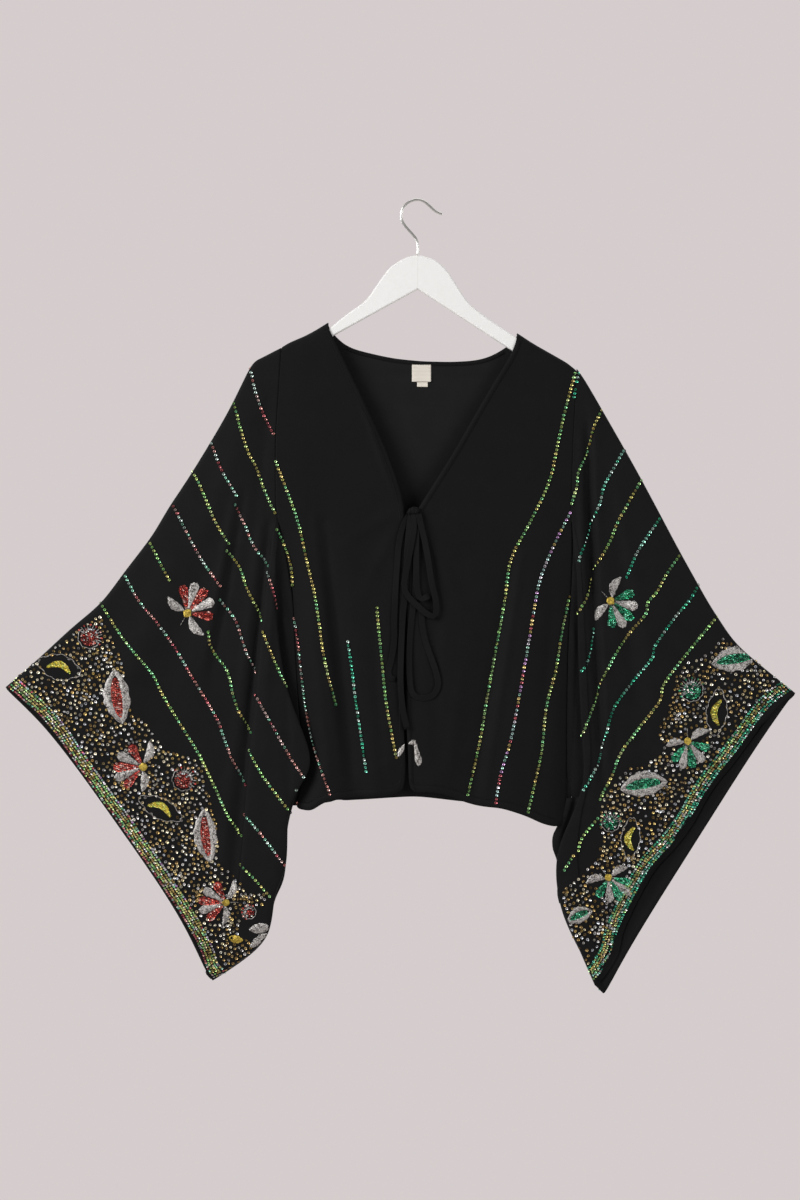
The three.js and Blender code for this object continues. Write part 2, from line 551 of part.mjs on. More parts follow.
// Back panel in one piece from armhole to armhole, with the scooped neck between the shoulders.
function backPanel() {
  const seamShift = SEAM_GAP + SEAM_SLACK;
  const left = LEFT_SEAM[0].x + seamShift;
  const right = RIGHT_SEAM[0].x - seamShift;
  const leftShoulder = LEFT_SHOULDER.filter((point) => point.x > left).reverse();
  const rightShoulder = RIGHT_SHOULDER.filter((point) => point.x < right);
  const edge = [
    { x: left, z: along(LEFT_SHOULDER, "x", left, "z") },
    ...leftShoulder.slice(0, -1),
    ...BACK_NECK,
    ...rightShoulder.slice(1),
    { x: right, z: along(RIGHT_SHOULDER, "x", right, "z") },
  ];
  const rollLeft = LEFT_SEAM[0].z - SHOULDER_ROLL_DROP;
  const rollRight = RIGHT_SEAM[0].z - SHOULDER_ROLL_DROP;
  const grid = ROLL_ANGLES.map(() => []);
  const belowNeck = BACK_ROWS.map(() => []);
  const inNeck = (x) => x > LEFT_SHOULDER[0].x && x < RIGHT_SHOULDER[0].x;
  for (const x of backColumns(left, right)) {
    const topZ = along(edge, "x", x, "z");
    const roll = shoulderRoll(x, topZ, 1);
    roll.forEach((point, index) => {
      if (inNeck(x)) point.y = bodyDepth(x, topZ, "back");
      grid[index].push(point);
    });
    const across = (x - left) / (right - left);
    const start = roll[roll.length - 1];
    BACK_ROWS.forEach((row, index) => {
      const leftShare = (row.leftZ - rollLeft) / (BACK_ROWS.at(-1).leftZ - rollLeft);
      const rightShare = (row.rightZ - rollRight) / (BACK_ROWS.at(-1).rightZ - rollRight);
      const rowLeft = along(LEFT_SEAM, "z", row.leftZ, "x") + seamShift;
      const rowRight = along(RIGHT_SEAM, "z", row.rightZ, "x") - seamShift;
      const rowX = THREE.MathUtils.lerp(rowLeft, rowRight, across);
      const share = THREE.MathUtils.lerp(leftShare, rightShare, across);
      const z = THREE.MathUtils.lerp(start.z, along(BACK_HEM, "x", rowX, "z"), share);
      belowNeck[index].push(new THREE.Vector3(rowX, bodyDepth(rowX, z, "back"), z));
    });
  }
  return clothShell([...grid, ...belowNeck], CLOTH_WALL, { seamRims: { first: "y", start: "x", end: "x" } });
}

// Columns of the back panel, with one at each neck point and one just inside it.
function backColumns(left, right) {
  const neckLeft = LEFT_SHOULDER[0].x;
  const neckRight = RIGHT_SHOULDER[0].x;
  const spread = (from, to, steps) => (
    Array.from({ length: steps }, (_, i) => from + ((to - from) * i) / steps)
  );
  return [
    ...spread(left, neckLeft, SHOULDER_STEPS),
    neckLeft,
    ...spread(neckLeft + NECK_TURN, neckRight - NECK_TURN, NECK_STEPS),
    neckRight - NECK_TURN,
    ...spread(neckRight, right, SHOULDER_STEPS),
    right,
  ];
}

// One ring of a sleeve: points on the middle of the wall, from the top fold round the front,
// the pleat, the strip, the underarm fold and the reverse.
function sleeveRing(section, folds, backFolds) {
  const side = Math.sign(section.topX);
  const inward = -side;
  const points = [];
  const add = (x, z, y) => points.push(new THREE.Vector3(x, y, z));
  const crown = Math.min(section.main, SHOULDER_ROLL_DEPTH);
  const runX = section.pleatX - section.topX;
  const runZ = section.pleatZ - section.topZ;
  const run = Math.hypot(runX, runZ);
  const [alongX, alongZ] = [runX / run, runZ / run];
  const bowX = -alongZ * inward;
  const bowZ = alongX * inward;
  const bowAt = (share) => 1 - (2 * share - 1) ** 4;
  const rollDrop = Math.min(SHOULDER_ROLL_DROP, crown);
  for (const angle of ROLL_ANGLES) {
    const turn = THREE.MathUtils.degToRad(angle);
    const drop = rollDrop * (1 - Math.cos(turn));
    add(section.topX + alongX * drop, section.topZ + alongZ * drop, -crown * Math.sin(turn));
  }
  const slope = Math.abs(runZ / runX);
  const tuck = section.drop / (2 * Math.min(slope, PLEAT.steepest));
  for (let step = 1; step <= MAIN_STEPS; step += 1) {
    const share = rollDrop / run + (1 - rollDrop / run) * (step / MAIN_STEPS);
    const bow = section.bow * bowAt(share);
    const x = section.topX + runX * share + bowX * bow;
    const z = section.topZ + runZ * share + bowZ * bow;
    const depth = THREE.MathUtils.lerp(crown, section.main, Math.min(1, share / EASE.crown));
    add(x, z, -(depth + foldHeight(folds, x, z) * Math.min(1, (1 - share) / EASE.pleat)));
  }
  const middle = (section.main + section.strip) / 2;
  const startZ = section.pleatZ - section.drop;
  const halfwayZ = section.pleatZ - section.drop * PLEAT.halfway;
  add(section.pleatX + inward * tuck, halfwayZ, -(section.main + middle) / 2);
  add(section.pleatX, startZ + section.drop * PLEAT.returned, -middle);
  const turnOut = Math.min(PLEAT.turnOut, tuck / 2);
  add(section.pleatX - inward * turnOut, startZ, -(middle + section.strip) / 2);
  for (let step = 0; step <= STRIP_STEPS; step += 1) {
    const share = step / STRIP_STEPS;
    const x = THREE.MathUtils.lerp(section.pleatX, section.edgeX - inward * turnOut, share);
    const z = THREE.MathUtils.lerp(startZ - section.drop * PLEAT.stripTop, section.edgeZ, share);
    add(x, z, -section.strip);
  }
  const cornerZ = section.edgeZ - TURNED_EDGE.corner - section.under * TURNED_EDGE.cornerShare;
  add(section.edgeX, cornerZ, -(section.strip + section.turned) / 2);
  const turnZ = cornerZ - TURNED_EDGE.corner - section.under;
  const sunk = section.turned - Math.min(TURNED_EDGE.sink, section.under);
  add(section.edgeX - inward * section.under, turnZ, -section.turned);
  for (let step = 1; step <= RECESS_STEPS; step += 1) {
    const share = step / RECESS_STEPS;
    const x = THREE.MathUtils.lerp(section.edgeX - inward * section.under, section.foldX, share);
    const z = THREE.MathUtils.lerp(turnZ, section.foldZ, share);
    add(x, z, -THREE.MathUtils.lerp(sunk, 0, share ** 2));
  }
  const reverseX = section.topX - section.foldX;
  const reverseZ = section.topZ - section.foldZ;
  const reach = Math.hypot(reverseX, reverseZ);
  const backBowX = reverseZ * inward / reach;
  const backBowZ = -reverseX * inward / reach;
  for (let step = 1; step <= REVERSE_STEPS; step += 1) {
    const share = (step / REVERSE_STEPS) * (1 - rollDrop / reach);
    const bow = section.backBow * bowAt(share);
    const x = section.foldX + reverseX * share + backBowX * bow;
    const z = section.foldZ + reverseZ * share + backBowZ * bow;
    const nearTop = Math.max(0, 1 - (1 - share) / EASE.reverseTop);
    const swell = Math.min(1, share / EASE.underarm) * THREE.MathUtils.lerp(section.reverse, crown, nearTop);
    const fade = Math.min(1, share / EASE.backFolds, (1 - share) / EASE.backFolds);
    add(x, z, swell + fade * foldHeight(backFolds, Math.abs(x), z));
  }
  for (const angle of ROLL_ANGLES.slice(1, -1).reverse()) {
    const turn = THREE.MathUtils.degToRad(angle);
    const drop = rollDrop * (1 - Math.cos(turn));
    const [towardX, towardZ] = [-reverseX / reach, -reverseZ / reach];
    add(section.topX + towardX * drop, section.topZ + towardZ * drop, crown * Math.sin(turn));
  }
  return points;
}

// Sleeve as a tube of rings. The first ring lies on the armhole seam.
function sleeve({ sections, folds, seam, underarm }) {
  const lines = sections.map((section) => sleeveRing(section, folds, SLEEVE_BACK_FOLDS));
  layOnSeam(lines[0], seam, underarm);
  const rings = [];
  for (let i = 0; i <= (lines.length - 1) * RINGS_PER_SECTION; i += 1) {
    rings.push(smoothLine(lines, i / RINGS_PER_SECTION));
  }
  return clothShell(rings, CLOTH_WALL, { ring: true, seamRims: { first: "x" } });
}

// Moves a sleeve's first ring onto its armhole seam, with a point at every height of the seam.
function layOnSeam(points, seam, underarm) {
  const rollEnd = seam[0].z - SHOULDER_ROLL_DROP;
  const hanging = points.filter((point) => point.z < rollEnd - 1 && point.z > underarm + 1);
  for (const facing of ["front", "back"]) {
    const sign = facing === "front" ? -1 : 1;
    const half = hanging.filter((point) => Math.sign(point.y) === sign);
    for (const { z } of seam.filter((row) => row.z < rollEnd && row.z > underarm)) {
      const closer = (best, point) => (Math.abs(point.z - z) < Math.abs(best.z - z) ? point : best);
      const nearest = half.reduce(closer);
      nearest.z = z;
    }
    for (const point of half) point.y = sign * along(seam, "z", point.z, facing);
  }
  for (const point of points) point.x = along(seam, "z", point.z, "x");
}

// Flat patch that lies on the inside of the back panel, made from the panel's own points.
function neckPatch({ left, right, top, bottom, columns, rows }) {
  const lift = CLOTH_WALL / 2 + SEAM_GAP + LABEL_WALL / 2;
  const grid = [];
  for (let i = 0; i < rows; i += 1) {
    const z = THREE.MathUtils.lerp(top, bottom, i / (rows - 1));
    const line = [];
    for (let j = 0; j < columns; j += 1) {
      const x = THREE.MathUtils.lerp(left, right, j / (columns - 1));
      line.push(new THREE.Vector3(x, bodyDepth(x, z, "back") - lift, z));
    }
    grid.push(line);
  }
  return clothShell(grid, LABEL_WALL);
}

// Line of a flat ribbon, whose broad side always faces the front.
class RibbonLine extends THREE.CatmullRomCurve3 {
  computeFrenetFrames(segments) {
    const forward = new THREE.Vector3(0, -1, 0);
    const frames = { tangents: [], normals: [], binormals: [] };
    for (let i = 0; i <= segments; i += 1) {
      const tangent = this.getTangentAt(i / segments);
      const normal = forward.clone().addScaledVector(tangent, -forward.dot(tangent)).normalize();
      frames.tangents.push(tangent);
      frames.normals.push(normal);
      frames.binormals.push(new THREE.Vector3().crossVectors(tangent, normal));
    }
    return frames;
  }
}

// Ribbon of the tie: a flat rounded section swept along its line, out from the fronts.
function ribbon({ points, layer }) {
  const lift = CLOTH_WALL / 2 + SEAM_GAP + RIBBON_LAYER * (layer - 0.5);
  const places = points.map(([x, z]) => new THREE.Vector3(x, -bodyDepth(x, z, "front") - lift, z));
  const path = new RibbonLine(places);
  const section = new THREE.Shape();
  section.absellipse(0, 0, RIBBON_THICKNESS / 2, RIBBON_WIDTH / 2, 0, 2 * Math.PI);
  return new THREE.ExtrudeGeometry(section, {
    steps: Math.round(path.getLength() / RIBBON_STEP),
    curveSegments: RIBBON_HALF_SIDES,
    extrudePath: path,
    bevelEnabled: false,
  });
}

// Knot of the bow: a short barrel that lies across the opening.
function knot() {
  const half = KNOT.length / 2;
  const profile = KNOT_PROFILE.map(({ radius, at }) => new THREE.Vector2(radius, at * half));
  const barrel = new THREE.LatheGeometry(profile, KNOT.sides);
  barrel.scale(KNOT.depth / 2, 1, KNOT.height / 2);
  barrel.rotateZ(Math.PI / 2);
  return barrel;
}

// Wood of the hanger: its outline with both edges rounded.
function hangerBody() {
  const lowered = (point) => ({ x: point.x, z: point.z - HANGER_CLEARANCE });
  const outline = [
    ...HANGER_CROWN,
    ...RIGHT_SHOULDER.slice(1, 3).map(lowered),
    ...RIGHT_ARM_END.slice().reverse(),
    HANGER_APEX,
    ...LEFT_ARM_END.slice().reverse(),
    ...LEFT_SHOULDER.slice(1, 4).map(lowered).reverse(),
  ];
  const shape = new THREE.Shape(outline.map((point) => new THREE.Vector2(point.x, point.z)));
  const body = new THREE.ExtrudeGeometry(shape, {
    depth: HANGER_THICKNESS - 2 * HANGER_BEVEL,
    steps: 1,
    bevelEnabled: true,
    bevelThickness: HANGER_BEVEL,
    bevelSize: HANGER_BEVEL,
    bevelOffset: -HANGER_BEVEL,
    bevelSegments: HANGER_BEVEL_STEPS,
  });
  body.translate(0, 0, HANGER_BEVEL - HANGER_THICKNESS / 2);
  body.rotateX(Math.PI / 2);
  return body;
}

// Hook: round wire along its centre line, ending just above the wood.
function hook() {
  const path = new THREE.CatmullRomCurve3(HOOK_PATH.map(([x, z]) => new THREE.Vector3(x, 0, z)));
  const wire = new THREE.Shape();
  wire.absarc(0, 0, HOOK_WIRE / 2, 0, 2 * Math.PI);
  return new THREE.ExtrudeGeometry(wire, {
    steps: HOOK_STEPS,
    curveSegments: HOOK_HALF_SIDES,
    extrudePath: path,
    bevelEnabled: false,
  });
}

const blouse = new THREE.Group();

function addPiece(name, geometry, finish) {
  const piece = new THREE.Mesh(geometry, new THREE.MeshStandardMaterial(finish));
  piece.name = name;
  blouse.add(piece);
  return piece;
}

addPiece("front_left", frontPanel({
  rows: LEFT_FRONT_ROWS, hem: LEFT_HEM, shoulder: LEFT_SHOULDER, seam: LEFT_SEAM,
}), CREPE);
addPiece("front_right", frontPanel({
  rows: RIGHT_FRONT_ROWS, hem: RIGHT_HEM, shoulder: RIGHT_SHOULDER, seam: RIGHT_SEAM,
}), CREPE);
addPiece("back", backPanel(), LINING_SIDE);
addPiece("sleeve_left", sleeve({
  sections: LEFT_SLEEVE, folds: LEFT_SLEEVE_FOLDS, seam: LEFT_SEAM, underarm: LEFT_UNDERARM,
}), SLEEVE_CREPE);
addPiece("sleeve_right", sleeve({
  sections: RIGHT_SLEEVE, folds: RIGHT_SLEEVE_FOLDS, seam: RIGHT_SEAM, underarm: RIGHT_UNDERARM,
}), SLEEVE_CREPE);

for (const line of RIBBONS) addPiece(line.name, ribbon(line), CREPE);
const tieKnot = addPiece("tie_knot", knot(), CREPE);
const knotLift = CLOTH_WALL / 2 + SEAM_GAP + KNOT.depth / 2;
tieKnot.position.set(KNOT.x, -bodyDepth(KNOT.x, KNOT.z, "front") - knotLift, KNOT.z);

addPiece("label", neckPatch(LABEL), LABEL_COTTON);
addPiece("label_tab", neckPatch(LABEL_TAB), LABEL_COTTON);
addPiece("hanger_body", hangerBody(), PAINTED_WOOD);
addPiece("hanger_hook", hook(), CHROMED_STEEL);

export default blouse;
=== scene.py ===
"""Tie-front sari blouse with kimono sleeves, hung on a flat wooden hanger.

Lengths in the tables are millimetres unless a name says otherwise. X runs to the viewer's
right, Z runs up, the front faces -Y, and the origin is the inside top of the hook.
Routes that follow the photograph are in pixels of its 800 x 1200 frame.
"""
import logging
import math
import random
from collections.abc import Iterable, Mapping, Sequence
from dataclasses import dataclass, field
from enum import Enum

import bmesh
import bpy
import numpy as np
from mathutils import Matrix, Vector, noise
from mathutils.bvhtree import BVHTree


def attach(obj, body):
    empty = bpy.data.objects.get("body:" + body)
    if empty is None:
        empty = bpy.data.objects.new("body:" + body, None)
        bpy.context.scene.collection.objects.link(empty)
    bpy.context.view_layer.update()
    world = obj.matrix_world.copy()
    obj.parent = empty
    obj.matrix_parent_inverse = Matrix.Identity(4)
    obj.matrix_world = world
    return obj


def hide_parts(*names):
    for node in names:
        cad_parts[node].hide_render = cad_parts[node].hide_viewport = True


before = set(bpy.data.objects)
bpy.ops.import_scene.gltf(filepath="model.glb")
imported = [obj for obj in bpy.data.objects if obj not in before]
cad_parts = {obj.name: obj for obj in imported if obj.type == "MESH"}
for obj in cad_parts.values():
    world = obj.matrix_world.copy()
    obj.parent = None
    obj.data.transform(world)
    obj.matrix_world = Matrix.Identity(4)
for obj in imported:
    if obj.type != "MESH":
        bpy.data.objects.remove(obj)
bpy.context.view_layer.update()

LOG = logging.getLogger("blouse")

MM = 0.001
PIXEL = 4 / 3
HOOK_TOP_PIXEL = (417.0, 201.0)
PHOTO_CENTRE_PIXEL = (400.0, 600.0)
PHOTO_HEIGHT_PIXELS = 1200
SEED = 3431

Point2 = tuple[float, float]
Piece = bpy.types.Object
Finish = bpy.types.Material


def from_photo(pixel: Point2) -> Point2:
    """Return the place in the cloth's plane, in millimetres, of a pixel of the photograph."""
    return (pixel[0] - HOOK_TOP_PIXEL[0]) * PIXEL, (HOOK_TOP_PIXEL[1] - pixel[1]) * PIXEL


def route_from_photo(*pixels: Point2) -> tuple[Point2, ...]:
    """Return the places, in millimetres, of a row of pixels of the photograph."""
    return tuple(from_photo(pixel) for pixel in pixels)


def shifted(place: Point2, way: Point2, reach: float) -> Point2:
    """Return the place moved by a reach along a direction."""
    return place[0] + way[0] * reach, place[1] + way[1] * reach


def turned(origin: Point2, angle: float, along: float, across: float = 0.0) -> Point2:
    """Step from a place along a direction and to its left.

    Args:
        origin: The place.
        angle: The direction, in degrees from the X axis.
        along: Distance along it.
        across: Distance to its left.

    Returns:
        The place that is stepped to.
    """
    turn = math.radians(angle)
    return (origin[0] + along * math.cos(turn) - across * math.sin(turn),
            origin[1] + along * math.sin(turn) + across * math.cos(turn))


def spread(half: float, pitch: float) -> list[float]:
    """Space sequins evenly over a width.

    Args:
        half: Half the width, in millimetres.
        pitch: Rough distance between two of them, in millimetres.

    Returns:
        Their distances from the middle, or one of zero where there is room for no more.
    """
    count = max(1, round(2 * half / pitch) + 1)
    return [0.0] if count == 1 else [half * (2 * j / (count - 1) - 1) for j in range(count)]


def linear(colour: str) -> tuple[float, float, float, float]:
    """Turn an sRGB hex colour to linear light.

    Args:
        colour: Six hex digits after a hash sign.

    Returns:
        Linear red, green and blue, and an alpha of one.
    """
    channels = [int(colour[i:i + 2], 16) / 255 for i in (1, 3, 5)]
    bent = [c / 12.92 if c <= 0.04045 else ((c + 0.055) / 1.055) ** 2.4 for c in channels]
    return bent[0], bent[1], bent[2], 1.0


def add_node(
    tree: bpy.types.NodeTree,
    kind: str,
    settings: Mapping[str | int, object] | None = None,
    links: Mapping[str | int, bpy.types.NodeSocket] | None = None,
) -> bpy.types.Node:
    """Add a node with its settings and links.

    Args:
        tree: The node tree that takes the node.
        kind: Blender's name of the node's type.
        settings: Values by property name, or by an input's name or number.
        links: Output sockets that feed this node, by the input's name or number.

    Returns:
        The new node.
    """
    made = tree.nodes.new(kind)
    for name, value in (settings or {}).items():
        if isinstance(name, str) and hasattr(made, name):
            setattr(made, name, value)
        else:
            made.inputs[name].default_value = value
    for name, source in (links or {}).items():
        tree.links.new(source, made.inputs[name])
    return made


def new_tree(name: str) -> tuple[Finish, bpy.types.NodeTree]:
    """Make a node material with nothing but its output.

    Args:
        name: Name of the material.

    Returns:
        The material and its node tree.
    """
    material = bpy.data.materials.new(name)
    material.use_nodes = True
    tree = material.node_tree
    tree.nodes.clear()
    tree.nodes.new("ShaderNodeOutputMaterial")
    return material, tree


def show(tree: bpy.types.NodeTree, shader: bpy.types.Node) -> None:
    """Link a shader to the material's output."""
    tree.links.new(shader.outputs[0], tree.nodes["Material Output"].inputs["Surface"])


@dataclass(frozen=True)
class WovenCrepe:
    """Polyester georgette of hard-twisted yarn, which gives a dry, pebbled, matte black face."""

    name: str
    dark: str = "#09090a"
    light: str = "#0e0e0f"
    pebble: float = 1.1
    crumple: float = 28.0

    def material(self) -> Finish:
        """Build the cloth. Its 0.4 mm yarns are drawn as 1.1 mm pebbles, so that they show.

        Returns:
            The material.
        """
        material, tree = new_tree(self.name)
        place = add_node(tree, "ShaderNodeTexCoord").outputs["Object"]
        yarns = add_node(tree, "ShaderNodeTexNoise", {
            "Scale": 1 / (self.pebble * MM), "Detail": 2.0, "Roughness": 0.6,
        }, {"Vector": place})
        drift = add_node(tree, "ShaderNodeTexNoise", {
            "Scale": 1 / (self.crumple * MM), "Detail": 3.0, "Distortion": 0.6,
        }, {"Vector": place})
        shade = add_node(tree, "ShaderNodeMixRGB", {
            "Color1": linear(self.dark), "Color2": linear(self.light),
        }, {"Fac": drift.outputs["Fac"]})
        fine = add_node(tree, "ShaderNodeBump", {
            "Strength": 0.35, "Distance": 0.25 * MM,
        }, {"Height": yarns.outputs["Fac"]})
        soft = add_node(tree, "ShaderNodeBump", {
            "Strength": 0.35, "Distance": 1.4 * MM,
        }, {"Height": drift.outputs["Fac"], "Normal": fine.outputs["Normal"]})
        shader = add_node(tree, "ShaderNodeBsdfPrincipled", {
            "Roughness": 0.75, "IOR": 1.54, "Specular IOR Level": 0.12,
            "Sheen Weight": 0.02, "Sheen Roughness": 0.5,
        }, {"Base Color": shade.outputs["Color"], "Normal": soft.outputs["Normal"]})
        show(tree, shader)
        return material


@dataclass(frozen=True)
class CottonTape:
    """Woven cotton label tape: fine ribs across it, soft and matte, in undyed cream."""

    name: str
    warp: str = "#e8e2d8"
    shadow: str = "#cfc7ba"
    rib: float = 1.8

    WAVE_RADIANS = 20

    def material(self) -> Finish:
        """Build the tape. Its 0.5 mm ribs are drawn 1.8 mm apart, so that they show.

        Returns:
            The material.
        """
        material, tree = new_tree(self.name)
        place = add_node(tree, "ShaderNodeTexCoord").outputs["Object"]
        ribs = add_node(tree, "ShaderNodeTexWave", {
            "bands_direction": "Z", "Distortion": 0.4,
            "Scale": math.tau / (self.WAVE_RADIANS * self.rib * MM),
        }, {"Vector": place})
        shade = add_node(tree, "ShaderNodeMixRGB", {
            "Color1": linear(self.shadow), "Color2": linear(self.warp),
        }, {"Fac": ribs.outputs["Fac"]})
        bump = add_node(tree, "ShaderNodeBump", {
            "Strength": 0.4, "Distance": 0.15 * MM,
        }, {"Height": ribs.outputs["Fac"]})
        show(tree, add_node(tree, "ShaderNodeBsdfPrincipled", {
            "Roughness": 0.9, "IOR": 1.53, "Specular IOR Level": 0.2,
        }, {"Base Color": shade.outputs["Color"], "Normal": bump.outputs["Normal"]}))
        return material


@dataclass(frozen=True)
class SatinPaint:
    """White satin alkyd paint on beech: a smooth film that softens the grain under it."""

    name: str
    colour: str = "#f0f0ef"
    warm: str = "#eae9e7"
    joint: str = "#dcdad6"
    joint_x: float = 1.0
    joint_width: float = 0.5
    grain: float = 9.0

    def material(self) -> Finish:
        """Build the paint, with the faint line of the glued joint in the middle of the wood.

        Returns:
            The material.
        """
        material, tree = new_tree(self.name)
        place = add_node(tree, "ShaderNodeTexCoord").outputs["Object"]
        grain = add_node(tree, "ShaderNodeTexNoise", {
            "Scale": 1 / (self.grain * MM), "Detail": 4.0, "Distortion": 1.2,
        }, {"Vector": place})
        tone = add_node(tree, "ShaderNodeMixRGB", {
            "Color1": linear(self.colour), "Color2": linear(self.warm),
        }, {"Fac": grain.outputs["Fac"]})
        across = add_node(tree, "ShaderNodeSeparateXYZ", {}, {"Vector": place}).outputs["X"]
        joint = add_node(tree, "ShaderNodeMath", {
            "operation": "COMPARE", 1: self.joint_x * MM, 2: self.joint_width / 2 * MM,
        }, {0: across})
        faint = add_node(tree, "ShaderNodeMixRGB", {"Color2": linear(self.joint)}, {
            "Fac": joint.outputs["Value"], "Color1": tone.outputs["Color"],
        })
        bump = add_node(tree, "ShaderNodeBump", {
            "Strength": 0.12, "Distance": 0.3 * MM,
        }, {"Height": grain.outputs["Fac"]})
        show(tree, add_node(tree, "ShaderNodeBsdfPrincipled", {
            "Roughness": 0.55, "IOR": 1.5, "Specular IOR Level": 0.3,
            "Coat Weight": 0.05, "Coat Roughness": 0.4,
        }, {"Base Color": faint.outputs["Color"], "Normal": bump.outputs["Normal"]}))
        return material


@dataclass(frozen=True)
class ChromedSteel:
    """Chromium plate on drawn steel wire: bright, and softened by fine drawing lines."""

    name: str
    colour: str = "#d2d1ce"
    roughness: float = 0.3
    drawing_line: float = 1.5

    def material(self) -> Finish:
        """Build the plating. Its 0.1 mm drawing lines are drawn 1.5 mm wide, so that they show.

        Returns:
            The material.
        """
        material, tree = new_tree(self.name)
        place = add_node(tree, "ShaderNodeTexCoord").outputs["Object"]
        lines = add_node(tree, "ShaderNodeTexNoise", {
            "Scale": 1 / (self.drawing_line * MM), "Detail": 3.0,
        }, {"Vector": place})
        bump = add_node(tree, "ShaderNodeBump", {
            "Strength": 0.02, "Distance": 0.005 * MM,
        }, {"Height": lines.outputs["Fac"]})
        show(tree, add_node(tree, "ShaderNodeBsdfPrincipled", {
            "Base Color": linear(self.colour), "Metallic": 1.0, "Roughness": self.roughness,
        }, {"Normal": bump.outputs["Normal"]}))
        return material


@dataclass(frozen=True)
class MetallisedFilm:
    """Vacuum-metallised polyester film, punched to sequins: a mirror under a clear gloss skin."""

    name: str
    roughness: float = 0.3
    coat: float = 0.35

    def material(self) -> Finish:
        """Build the film. Each sequin's own dye, darkened by its painted shade, is in the mesh, as the
        colour named tint.

        Returns:
            The material.
        """
        material, tree = new_tree(self.name)
        tint = add_node(tree, "ShaderNodeAttribute", {"attribute_name": "tint"})
        show(tree, add_node(tree, "ShaderNodeBsdfPrincipled", {
            "Metallic": 1.0, "Roughness": self.roughness,
            "Coat Weight": self.coat, "Coat Roughness": 0.12, "Coat IOR": 1.57,
        }, {"Base Color": tint.outputs["Color"]}))
        return material


@dataclass(frozen=True)
class ZariCoil:
    """Zari: coiled metal thread laid side by side; it glitters in broken grains, with painted shade between
    coils.
    """

    name: str
    bright: str
    painted_gap_shade: str
    coil: float = 1.3

    def material(self) -> Finish:
        """Build the thread. Its 0.7 mm coils are drawn as 1.3 mm grains, so that they show.

        Returns:
            The material.
        """
        material, tree = new_tree(self.name)
        place = add_node(tree, "ShaderNodeTexCoord").outputs["Object"]
        grains = add_node(tree, "ShaderNodeTexVoronoi", {
            "Scale": 1 / (self.coil * MM), "Randomness": 0.9,
        }, {"Vector": place})
        patches = add_node(tree, "ShaderNodeTexNoise", {
            "Scale": 1 / (4 * self.coil * MM), "Detail": 3.0,
        }, {"Vector": place})
        spread = add_node(tree, "ShaderNodeMath", {"operation": "MULTIPLY"}, {
            0: grains.outputs["Distance"], 1: patches.outputs["Fac"],
        })
        shade = add_node(tree, "ShaderNodeValToRGB", {}, {"Fac": spread.outputs["Value"]})
        # Painted shade: the colour darkens from each coil's crown into the gaps between the coils.
        ends = ((0.04, self.bright), (0.42, self.painted_gap_shade))
        for element, (position, colour) in zip(shade.color_ramp.elements, ends):
            element.position = position
            element.color = linear(colour)
        bump = add_node(tree, "ShaderNodeBump", {
            "Strength": 0.9, "Distance": 0.5 * MM, "invert": True,
        }, {"Height": grains.outputs["Distance"]})
        show(tree, add_node(tree, "ShaderNodeBsdfPrincipled", {
            "Metallic": 0.85, "Roughness": 0.42,
        }, {"Base Color": shade.outputs["Color"], "Normal": bump.outputs["Normal"]}))
        return material


class Dye(Enum):
    """Dyes of the sequins and bugles, as the shades that one string of them mixes."""

    GOLD = ("#cdb27c", "#e9d8ac", "#a88a52", "#f6ecd0", "#8a7040", "#c2a060", "#d6b870")
    SILVER = ("#f4f1ee", "#e6e3e2", "#cdd0d6", "#b4b0ac", "#f7f3e6")
    LIME = ("#c0ac66", "#d2c878", "#b8d07c", "#96d07c", "#80cc8e", "#acdc92", "#d2e49c", "#c8c06c")
    TEAL = ("#2fa884", "#57cba4", "#9fdcc8", "#c6dcd2", "#6fd0b0", "#3fae86", "#248a70")
    ROSE = ("#b25a60", "#bd7f78", "#d2a19a", "#b9cfc6", "#8fcbb0", "#cdb3ae", "#b9686a", "#96464f")
    RED = ("#c04034", "#d8675a", "#93302a", "#dba79c", "#a83a34")
    LEAF = ("#1f9468", "#3ab984", "#126d4f", "#73d0a8")
    YELLOW = ("#dcc94a", "#c9b23a", "#e9dc7a", "#b8c458")
    OPAL = ("#e9e4ef", "#a9d6c4", "#c79ccf", "#d8c07a", "#cf6a74", "#b9dcd8")


class Slot(Enum):
    """Material slots of the record that the added pieces take their finish from."""

    CREPE = "black_crepe"
    LABEL = "label_cotton"
    PAINT = "painted_wood"
    CHROME = "chromed_wire"
    GOLD = "gold_sequin"
    SILVER = "silver_sequin"
    GREEN = "green_sequin"
    ROSE = "rose_sequin"


DYE_SLOTS = {
    Dye.GOLD: Slot.GOLD, Dye.SILVER: Slot.SILVER, Dye.LIME: Slot.GREEN, Dye.TEAL: Slot.GREEN,
    Dye.ROSE: Slot.ROSE, Dye.RED: Slot.ROSE, Dye.LEAF: Slot.GREEN, Dye.YELLOW: Slot.GOLD,
    Dye.OPAL: Slot.SILVER,
}


class Side(Enum):
    """Which side of the hung garment a thing lies on."""

    FRONT = -1
    BACK = 1


